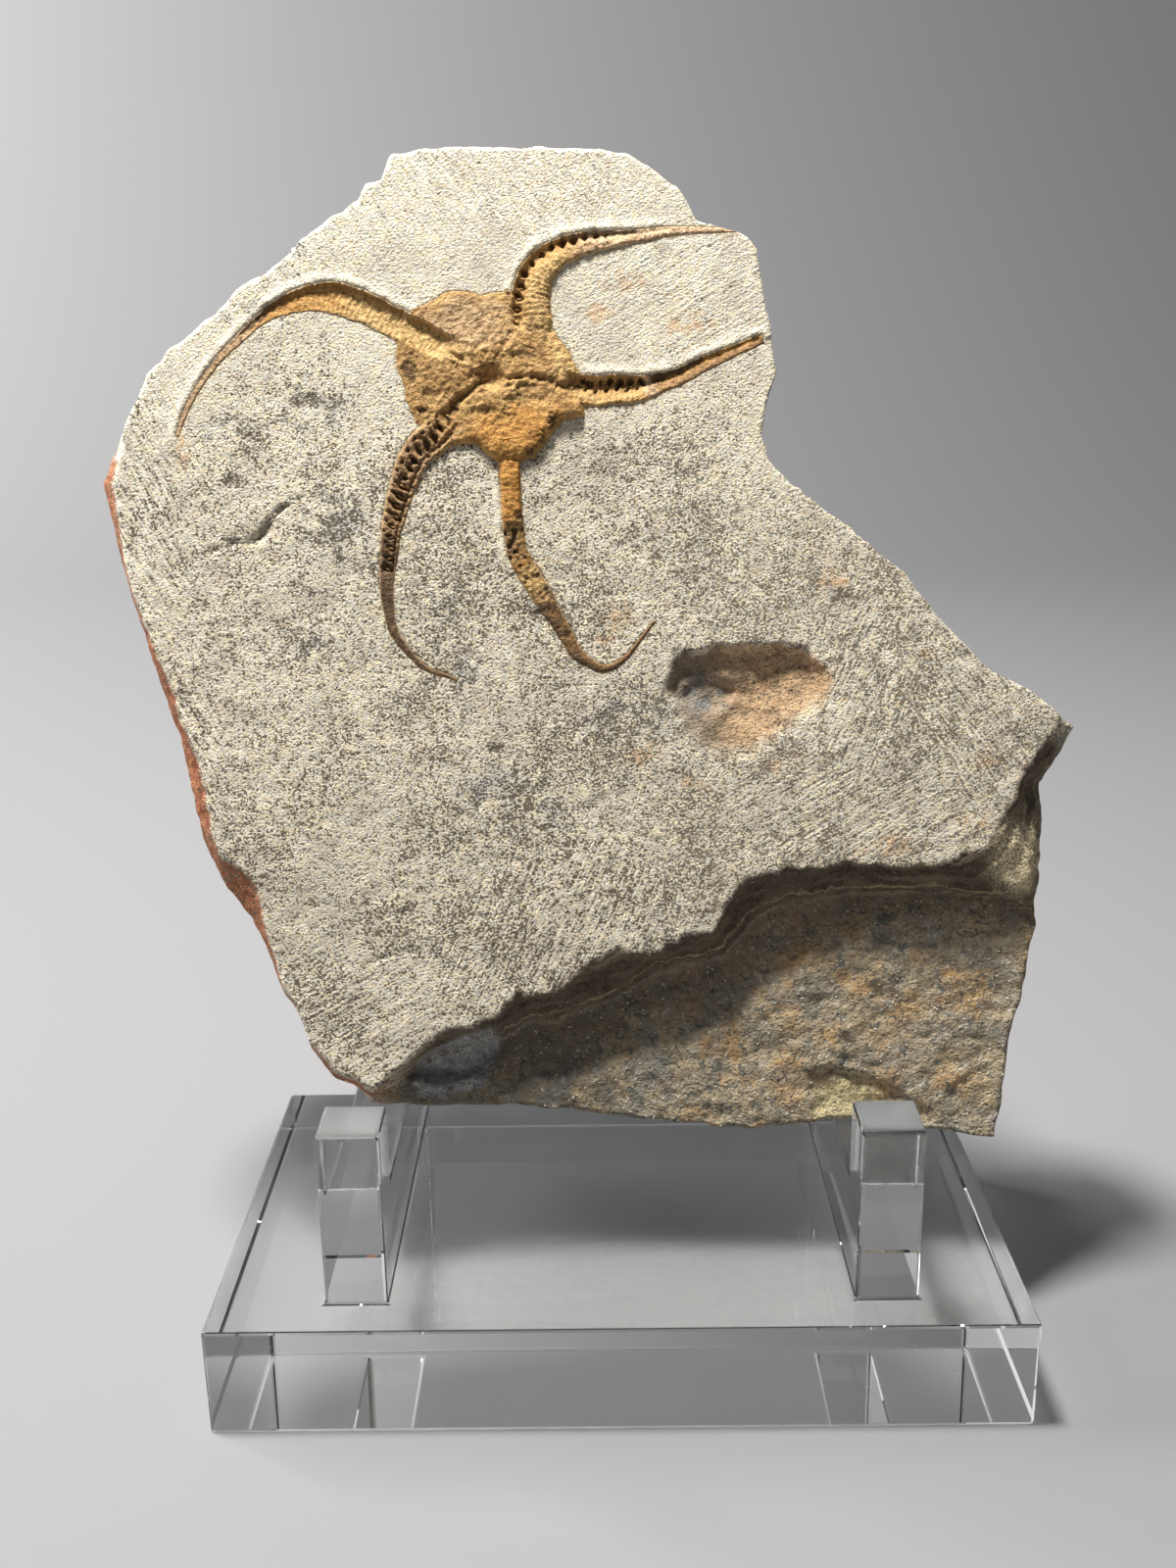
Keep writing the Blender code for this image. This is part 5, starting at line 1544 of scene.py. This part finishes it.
def lower_layer(w, s):
    tan = w.rise(w.noise(s.place, 7.0, 5.0, 0.6), 0.44, 0.66, 0.0, 0.8)
    tan = w.times(tan, w.rise(s.x, -15.0, 20.0, 0.3, 1.0))
    orange = w.times(w.rise(w.noise(s.place, 2.6, 4.0, 0.7), 0.55, 0.68), tan)
    bluish = w.times(w.rise(w.noise(w.place(s.place, move=(3.0, 9.0, 2.0)), 5.0, 4.0, 0.65), 0.46, 0.60),
                     w.rise(s.x, 30.0, -5.0, 0.45, 1.0))
    lower = layers(
        w, w.mix(w.rise(s.mid, 0.38, 0.60), (0.33, 0.29, 0.22), (0.52, 0.42, 0.27)),
        (tan, (0.58, 0.36, 0.165)), (orange, (0.60, 0.33, 0.12)),
        (w.times(bluish, 0.6), (0.22, 0.235, 0.225)))
    lower = spots(w, lower, (0.10, 0.125, 0.125), s.place, 1.5, (0.62, 0.68), 0.75, 1.0, 0.5, 1.0)
    moved = w.place(s.place, move=(7.0, 3.0, 1.0))
    lower = spots(w, lower, (0.68, 0.61, 0.51), moved, 1.9, (0.60, 0.68), 0.5, 2.0, 0.55)
    from_spall = w.node("ShaderNodeVectorMath", {0: s.place, 1: (32.0, 1.5, 0.0)}, operation="DISTANCE")
    return layers(
        w, lower,
        # Painted shade: the lower layer is painted darker towards the left and near the foot of the ledge,
        # under the ledge's shadow.
        (w.rise(s.x, 12.0, -12.0, 0.0, 0.42), (0.10, 0.095, 0.08)),
        (w.times(w.attribute("under"), 0.6), (0.09, 0.065, 0.042)),
        (w.rise(from_spall.outputs["Value"], 6.0, 3.5, 0.0, 0.75), (0.74, 0.62, 0.33)))


# %% Rust and crust
def rusty_floor(w, s):
    dark_half = w.rise(w.plus(s.x, w.times(s.mid, 8.0)), 23.0, 13.0, 0.0, 0.9)
    return layers(
        w, w.mix(w.rise(s.mid, 0.35, 0.62), (0.46, 0.27, 0.135), (0.68, 0.44, 0.245)),
        (w.rise(s.grain["Tone"], 0.6, 0.8, 0.0, 0.5), (0.75, 0.54, 0.32)),
        (w.rise(s.coarse["Tone"], 0.75, 0.85, 0.0, 0.35), (0.30, 0.20, 0.12)),
        (dark_half, (0.25, 0.20, 0.15)),
        (w.times(w.attribute("blue"), w.rise(s.small, 0.4, 0.6, 0.2, 0.8)), (0.25, 0.28, 0.29)))


# %% Sandstone
def sandstone_material():
    material, w, shader = new_material("sandstone")
    s = stone_patterns(w)
    wall, sides = ledge_and_sides(w, s)
    # Partly painted light: the slate under the broken corner is blue-grey, painted light enough to show
    # although it faces down into shade.
    slate_painted_lighter = w.mix(w.rise(s.small, 0.35, 0.65), (0.30, 0.31, 0.32), (0.55, 0.54, 0.52))
    crust = w.mix(w.rise(s.small, 0.35, 0.65), (0.24, 0.075, 0.03), (0.55, 0.22, 0.10))
    rusted = w.plus(s.hollow, w.times(w.minus(s.small, 0.5), 0.8))
    stone = layers(
        w, worked_face(w, s),
        (w.attribute("broken"), sides), (w.attribute("lower"), lower_layer(w, s)),
        (w.attribute("wall"), wall), (w.times(w.attribute("slate_painted_lighter"), 0.9), slate_painted_lighter),
        (w.rise(rusted, 0.15, 0.85, 0.0, 0.95), rusty_floor(w, s)),
        # Painted shade: the crack and the scratches are painted dark inside.
        (w.attribute("crust"), crust), (w.times(w.attribute("crack"), 0.55), (0.14, 0.11, 0.08)))
    uneven = w.math("MAXIMUM", s.rough, w.times(s.hollow, 0.7))
    coarse_gaps = w.times(w.times(s.coarse["Gap"], uneven), 0.5)
    shade = w.plus(w.times(s.grain["Gap"], w.rise(s.x, -5.0, 25.0, 0.97, 0.84)), coarse_gaps, clamp=True)
    stone = w.mix(shade, stone, (0.155, 0.125, 0.088))
    lit = w.node("ShaderNodeVectorMath", {0: stone, "Scale": w.plus(1.0, s.streaks)}, operation="SCALE")
    w.link(lit.outputs[0], shader.inputs["Base Color"])
    w.link(w.rise(s.grain["Gap"], 0.0, 1.0, 0.80, 0.97), shader.inputs["Roughness"])
    height = w.plus(w.times(s.grain["Height"], 1.1), w.times(s.streaks, 0.45))
    height = w.plus(height, w.times(w.times(s.coarse["Height"], uneven), 1.6))
    bump = w.node("ShaderNodeBump", {"Height": height, "Distance": 0.00028, "Strength": 1.0})
    w.link(bump.outputs[0], shader.inputs["Normal"])
    shader.inputs["Specular IOR Level"].default_value = 0.25
    return material


slab.data.materials.append(sandstone_material())
print("sandstone is on the slab")

# %% [markdown]
# ### Iron-stained fossil
#
# Iron in the ground water turned the animal's plates ochre and brown. The stain is golden in the smooth
# groove of the upper left arm and orange at the root of the lowest arm. The pits, grooves and cavities are
# painted dark on top of it: painted shade.

# %% Fossil
def fossil_material():
    material, w, shader = new_material("iron_stained_fossil")
    place = slab_coordinates(w)
    mid, small = w.noise(place, 3.0, 4.0, 0.65), w.noise(place, 0.75, 4.0, 0.7)
    grain = use_group(w, sand_grain, {"Vector": place, "Grain": 0.30, "Gaps": 0.42})
    stone = w.mix(w.rise(mid, 0.35, 0.65), (0.42, 0.235, 0.08), (0.63, 0.385, 0.135))
    stone = w.mix(w.rise(w.noise(place, 4.5, 3.0, 0.6), 0.50, 0.64, 0.0, 0.5), stone, (0.46, 0.235, 0.07))
    stone = w.mix(w.rise(small, 0.52, 0.68, 0.0, 0.55), stone, (0.69, 0.47, 0.23))
    stone = w.mix(w.rise(small, 0.46, 0.34, 0.0, 0.65), stone, (0.22, 0.115, 0.042))
    tones = (
        ("gold", (0.47, 0.28, 0.095), (0.76, 0.52, 0.215)),
        ("orange", (0.42, 0.18, 0.033), (0.62, 0.315, 0.072)),
        ("pale", (0.60, 0.39, 0.22), (0.88, 0.65, 0.43)),
        ("dusky", (0.16, 0.095, 0.052), (0.42, 0.26, 0.14)),
    )
    for name, deep, light in tones:
        stone = w.mix(w.attribute(name), stone, w.mix(w.rise(small, 0.34, 0.64), deep, light))
    # The dark mask holds the real dark stains and the painted shade of the pits, grooves, cavities and
    # crevices.
    dark = w.plus(w.attribute("dark"), w.times(w.minus(small, 0.5), 0.5))
    stone = w.mix(w.rise(dark, 0.12, 0.85, 0.0, 0.86), stone, (0.07, 0.042, 0.02))
    stone = w.mix(w.times(grain["Gap"], 0.55), stone, (0.11, 0.055, 0.022))
    # Grains of stone still cling to the animal's edge.
    edge = w.plus(w.attribute("inside"), w.times(w.minus(small, 0.5), 0.9))
    stone = w.mix(w.rise(edge, 0.10, -0.02, 0.0, 0.75), stone, (0.74, 0.64, 0.46))
    w.link(stone, shader.inputs["Base Color"])
    w.link(w.rise(grain["Gap"], 0.0, 1.0, 0.65, 0.92), shader.inputs["Roughness"])
    crumbs = w.noise(place, 0.34, 2.0, 0.6)
    height = w.plus(w.plus(grain["Height"], w.times(small, 1.4)), w.times(crumbs, 0.9))
    bump = w.node("ShaderNodeBump", {"Height": height, "Distance": 0.00019, "Strength": 1.0})
    w.link(bump.outputs[0], shader.inputs["Normal"])
    shader.inputs["Specular IOR Level"].default_value = 0.3
    return material


star.data.materials.append(fossil_material())
print("fossil finish is on the animal")

# %% [markdown]
# ## Plates and grains
#
# Two things repeat too often to place by hand: the stubs of the plates that stand between the pits of the
# arms, and the grains of sand that stand proud of the broken stone. Geometry Nodes do both. A helper starts
# each tree, names its inputs, and afterwards turns the result into a plain mesh, because a finished piece
# carries no modifier.


# %% Helpers for geometry trees
def new_geometry_tree(name, inputs):
    """A tree with geometry in and out, a seed and a finish. inputs maps a name to its kind and value."""
    inputs = {**inputs, "Seed": ("Int", 1), "Finish": ("Material", None)}
    tree = bpy.data.node_groups.new(name, "GeometryNodeTree")
    tree.interface.new_socket("Geometry", in_out="INPUT", socket_type="NodeSocketGeometry")
    for label, (kind, value) in inputs.items():
        socket = tree.interface.new_socket(label, in_out="INPUT", socket_type=f"NodeSocket{kind}")
        if value is not None:
            socket.default_value = value
    tree.interface.new_socket("Geometry", in_out="OUTPUT", socket_type="NodeSocketGeometry")
    wiring = Wiring(tree)
    return tree, wiring, wiring.node("NodeGroupInput").outputs, wiring.node("NodeGroupOutput").inputs


def dress(w, instances, given, out, numbers=()):
    """Makes the instances real, stores these numbers on them, and ends the tree with their finish."""
    real = w.node("GeometryNodeRealizeInstances", {"Geometry": instances}).outputs[0]
    for label, value in numbers:
        real = w.node("GeometryNodeStoreNamedAttribute", {"Geometry": real, "Name": label, "Value": value},
                      data_type="FLOAT", domain="POINT").outputs[0]
    real = w.node("GeometryNodeSetShadeSmooth", {"Geometry": real}).outputs[0]
    dressed = w.node("GeometryNodeSetMaterial", {"Geometry": real, "Material": given["Finish"]}).outputs[0]
    w.link(dressed, out["Geometry"])


def evaluated_mesh(piece):
    """A plain mesh of the piece as its modifiers make it."""
    return bpy.data.meshes.new_from_object(piece.evaluated_get(bpy.context.evaluated_depsgraph_get()))


def grow(piece, tree, values):
    """Runs the tree on the piece with these values and keeps the result as a plain mesh on the root body."""
    modifier = piece.modifiers.new(tree.name, "NODES")
    modifier.node_group = tree
    for item in tree.interface.items_tree:
        if item.in_out == "INPUT" and item.name in values:
            modifier[item.identifier] = values[item.name]
    mesh = evaluated_mesh(piece)
    grown = add_object(tree.name, mesh)
    bpy.data.objects.remove(piece)
    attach(grown, "root")
    print(f"{grown.name}: {len(mesh.polygons)} faces")


def between(w, low, high, seed, kind="FLOAT"):
    """A random number or vector for each point."""
    value = w.node("FunctionNodeRandomValue", data_type=kind)
    places = (0, 1) if kind == "FLOAT_VECTOR" else (2, 3)
    value.inputs[places[0]].default_value, value.inputs[places[1]].default_value = low, high
    w.link(seed, value.inputs["Seed"])
    return value.outputs[0 if kind == "FLOAT_VECTOR" else 1]


print("helpers for geometry trees are ready")

# %% [markdown]
# The stubs follow the rows of pits, half a pitch further on, like the rungs of a ladder. Each row is one
# spline whose radius says how wide the rungs are there. A rung is a low-poly ball, squashed, turned across
# the arm and laid on the surface that the animal already has.


# %% Rungs between the pits
SLAB_NORMAL = tuple(SLAB_POSE.to_3x3() @ Vector((0.0, 0.0, 1.0)))
RUNG = (0.15, 0.74, 0.20)  # half sizes in mm: along the arm, across it and up
RUNG_ARMS = ("upper_right", "right", "lower_left")


def rung_path():
    """One spline for each row of pits, on the animal's surface."""
    surface = kdtree.KDTree(len(star_xy))
    for i, (px, py) in enumerate(star_xy.tolist()):
        surface.insert((px, py, 0.0), i)
    surface.balance()
    curve = bpy.data.curves.new("rung_path", "CURVE")
    curve.dimensions = "3D"
    for name, place, _, first, last, _, half_wide, _ in PIT_ROWS:
        arm = next(a for a in arms if a.name == name)
        if name not in RUNG_ARMS or half_wide < 0.5:
            continue
        stops = np.arange(first + PIT_PITCH / 2, last, PIT_PITCH / 4)
        number = np.clip(np.searchsorted(arm.walked, stops), 0, len(arm.walked) - 1)
        half = np.where(place > 0, arm.right_half[number], arm.left_half[number])
        side = np.column_stack((arm.along[number, 1], -arm.along[number, 0]))
        xy = arm.places[number] + side * (place * half)[:, None]
        level = [star_points[surface.find((px, py, 0.0))[1], 2] for px, py in xy.tolist()]
        smooth_level = np.convolve(np.pad(level, 4, mode="edge"), np.ones(9) / 9, mode="valid")
        spline = curve.splines.new("POLY")
        spline.points.add(len(xy) - 1)
        for point, co, radius in zip(spline.points, to_room(np.column_stack((xy, smooth_level + 0.05))),
                                     half_wide / 0.8 * np.clip(half / 2.0, 0.2, 1.0)):
            point.co = (*co, 1.0)
            point.radius = radius
    return add_object("rung_path", curve)


def rung_tree():
    tree, w, given, out = new_geometry_tree("arm_plates", {
        "Pitch": ("Float", 0.00136), "Rung": ("Vector", (0.001, 0.001, 0.001)),
        "Up": ("Vector", (0.0, 0.0, 1.0))})
    stops = w.node("GeometryNodeResampleCurve", {"Curve": given["Geometry"], "Length": given["Pitch"]},
                   mode="LENGTH")
    ball = w.node("GeometryNodeMeshIcoSphere", {"Radius": 1.0, "Subdivisions": 2}).outputs[0]
    rung = w.node("GeometryNodeTransform", {"Geometry": ball, "Scale": given["Rung"]}).outputs[0]
    upright = w.node("FunctionNodeAlignRotationToVector", {"Vector": given["Up"]}, axis="Z").outputs[0]
    tangent = w.node("GeometryNodeInputTangent").outputs[0]
    turned = w.node("FunctionNodeAlignRotationToVector", {"Rotation": upright, "Vector": tangent},
                    axis="X", pivot_axis="Z").outputs[0]
    tilt = between(w, (-0.25, -0.25, -0.3), (0.25, 0.25, 0.3), given["Seed"], "FLOAT_VECTOR")
    turned = w.node("FunctionNodeRotateRotation", {"Rotation": turned, "Rotate By": tilt},
                    rotation_space="LOCAL").outputs[0]
    uneven = between(w, (0.8, 0.75, 0.7), (1.25, 1.15, 1.2), given["Seed"], "FLOAT_VECTOR")
    radius = w.node("GeometryNodeInputRadius").outputs[0]
    size = w.node("ShaderNodeVectorMath", {0: uneven, "Scale": radius}, operation="SCALE")
    placed = {"Points": stops.outputs[0], "Instance": rung, "Rotation": turned, "Scale": size.outputs[0]}
    rungs = w.node("GeometryNodeInstanceOnPoints", placed).outputs[0]
    dress(w, rungs, given, out, (("inside", 1.0), ("dusky", 0.45)))
    return tree


grow(rung_path(), rung_tree(), {
    "Pitch": PIT_PITCH * MM, "Rung": tuple(v * MM for v in RUNG), "Up": SLAB_NORMAL, "Seed": 3,
    "Finish": bpy.data.materials["iron_stained_fossil"]})

# %% [markdown]
# The grains are scattered over a copy of the slab. Its masks say where: thickly on the broken places and
# thinly on the worked face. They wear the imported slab's plain sandstone, a pale even tone that stands out
# from the darker broken stone.


# %% Proud grains of sand
def grain_tree():
    tree, w, given, out = new_geometry_tree("proud_grains", {
        "Density": ("Float", 1e6), "Grain": ("Float", 0.0003)})

    def mask(name):
        found = w.node("GeometryNodeInputNamedAttribute", {"Name": name}, data_type="FLOAT")
        return found.outputs["Attribute"]

    broken = w.math("MAXIMUM", w.math("MAXIMUM", mask("lower"), w.times(mask("broken"), 0.55)),
                    w.times(mask("wall"), 0.2))
    share = w.plus(w.times(broken, 0.9), 0.10)
    clear = w.math("MAXIMUM", w.rise(mask("beside"), 0.15, 0.25), w.math("GREATER_THAN", mask("broken"), 0.3))
    density = w.times(given["Density"], w.times(share, clear))
    scattered = {"Mesh": given["Geometry"], "Density": density, "Seed": given["Seed"]}
    points = w.node("GeometryNodeDistributePointsOnFaces", scattered, distribute_method="RANDOM").outputs
    ball = w.node("GeometryNodeMeshIcoSphere", {"Radius": 1.0, "Subdivisions": 1}).outputs[0]
    flat_ball = w.node("GeometryNodeTransform", {"Geometry": ball, "Scale": (1.0, 0.8, 0.30)}).outputs[0]
    spin = between(w, (0.0, 0.0, 0.0), (0.5, 0.5, math.tau), given["Seed"], "FLOAT_VECTOR")
    turned = w.node("FunctionNodeRotateRotation", {"Rotation": points["Rotation"], "Rotate By": spin},
                    rotation_space="LOCAL").outputs[0]
    size = w.times(given["Grain"], between(w, 0.45, 1.35, given["Seed"]))
    size = w.times(size, w.rise(broken, 0.0, 1.0, 0.6, 1.0))
    placed = {"Points": points["Points"], "Instance": flat_ball, "Rotation": turned, "Scale": size}
    dress(w, w.node("GeometryNodeInstanceOnPoints", placed).outputs[0], given, out)
    return tree


grow(add_object("ground", slab.data.copy()), grain_tree(), {
    "Density": 0.45e6, "Grain": 0.18 * MM, "Seed": 8, "Finish": bpy.data.materials["sandstone"]})

# %% [markdown]
# ## The stand
#
# The stand is a thick block of clear acrylic with two brackets glued on. Glued acrylic has no air gap, and
# light goes straight through the joint, so base and brackets are joined here into one clear body. Its edges
# are polished to a narrow chamfer, which shows as a bright line.

# %% One clear body
BASE_SIZE = Vector((105.0, 60.0, 15.0)) * MM
SHEET = 8.0 * MM
BRACKET_X = (-33.7 * MM, 34.1 * MM)
BRACKET_PROFILE = (  # y and z in mm, from the foot of the post round to the back
    (-24.6, 14.0), (28.4, 14.0), (28.4, 73.0), (22.43, 73.0), (10.49, 28.4), (-16.3, 28.4),
    (-16.3, 39.0), (-24.6, 39.0))
EDGE_POLISH = 0.45 * MM


def solid_object(name, bm):
    bmesh.ops.recalc_face_normals(bm, faces=bm.faces)
    mesh = bpy.data.meshes.new(name)
    bm.to_mesh(mesh)
    bm.free()
    return add_object(name, mesh)


def plain_block():
    bm = bmesh.new()
    bmesh.ops.create_cube(bm, size=1.0)
    bm.transform(Matrix.Translation((0, 0, BASE_SIZE.z / 2)) @ Matrix.Diagonal((*BASE_SIZE, 1.0)))
    return solid_object("acrylic_stand", bm)


def bracket_block(x):
    bm = bmesh.new()
    near = [bm.verts.new((x - SHEET / 2, y * MM, z * MM)) for y, z in BRACKET_PROFILE]
    away = [bm.verts.new((x + SHEET / 2, y * MM, z * MM)) for y, z in BRACKET_PROFILE]
    bm.faces.new(near)
    bm.faces.new(away)
    for i in range(len(near)):
        j = (i + 1) % len(near)
        bm.faces.new((near[i], near[j], away[j], away[i]))
    return solid_object("bracket", bm)


def make_stand():
    stand = plain_block()
    brackets = [bracket_block(x) for x in BRACKET_X]
    for bracket in brackets:
        joint = stand.modifiers.new("glued", "BOOLEAN")
        joint.operation = "UNION"
        joint.solver = "EXACT"
        joint.object = bracket
    polish = stand.modifiers.new("polish", "BEVEL")
    polish.width = EDGE_POLISH
    polish.segments = 2
    polish.limit_method = "ANGLE"
    polish.angle_limit = math.radians(30.0)
    settled = evaluated_mesh(stand)
    stand.modifiers.clear()
    stand.data = settled
    for bracket in brackets:
        bpy.data.objects.remove(bracket)
    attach(stand, "root")
    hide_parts("stand_base", "stand_bracket_left", "stand_bracket_right")
    return stand


stand = make_stand()
print("stand:", len(stand.data.polygons), "faces")


# %% Clear acrylic
def acrylic_material():
    material, w, shader = new_material("clear_acrylic")
    shader.inputs["Base Color"].default_value = (0.965, 0.98, 0.978, 1.0)
    shader.inputs["Transmission Weight"].default_value = 1.0
    shader.inputs["IOR"].default_value = 1.49
    place = w.place(w.node("ShaderNodeTexCoord").outputs["Object"], scale=(1 / MM,) * 3)
    scratches = use_group(w, brush_streaks, {"Vector": place, "Turn": 0.5, "Width": 0.35})["Streak"]
    dust = w.rise(w.noise(place, 0.5, 2.0), 0.70, 0.78)
    marks = w.math("MAXIMUM", w.rise(scratches, 0.72, 0.80, 0.0, 0.5), dust)
    # The tops of the posts are sawn and not polished.
    sawn = w.rise(separate(w, place)[2], 38.7, 38.95, 0.0, 0.30)
    smudges = w.rise(w.noise(place, 7.0, 4.0, 0.65), 0.54, 0.70, 0.0, 0.06)
    haze = w.math("MAXIMUM", w.math("MAXIMUM", sawn, smudges), w.rise(marks, 0.0, 1.0, 0.0, 0.25))
    w.link(haze, shader.inputs["Roughness"])
    bump = w.node("ShaderNodeBump", {"Height": marks, "Distance": 0.00002, "Strength": 0.4})
    w.link(bump.outputs[0], shader.inputs["Normal"])
    # Part of the lamps' light goes straight through, so the paper under the block is lit as in reality.
    clear = w.node("ShaderNodeBsdfTransparent", {"Color": (0.24, 0.245, 0.245, 1.0)})
    lamp_ray = w.node("ShaderNodeLightPath").outputs["Is Shadow Ray"]
    both = w.node("ShaderNodeMixShader", {0: lamp_ray, 1: shader.outputs[0], 2: clear.outputs[0]})
    w.link(both.outputs[0], w.tree.nodes["Material Output"].inputs["Surface"])
    return material


stand.data.materials.clear()
stand.data.materials.append(acrylic_material())
print("acrylic is on the stand")
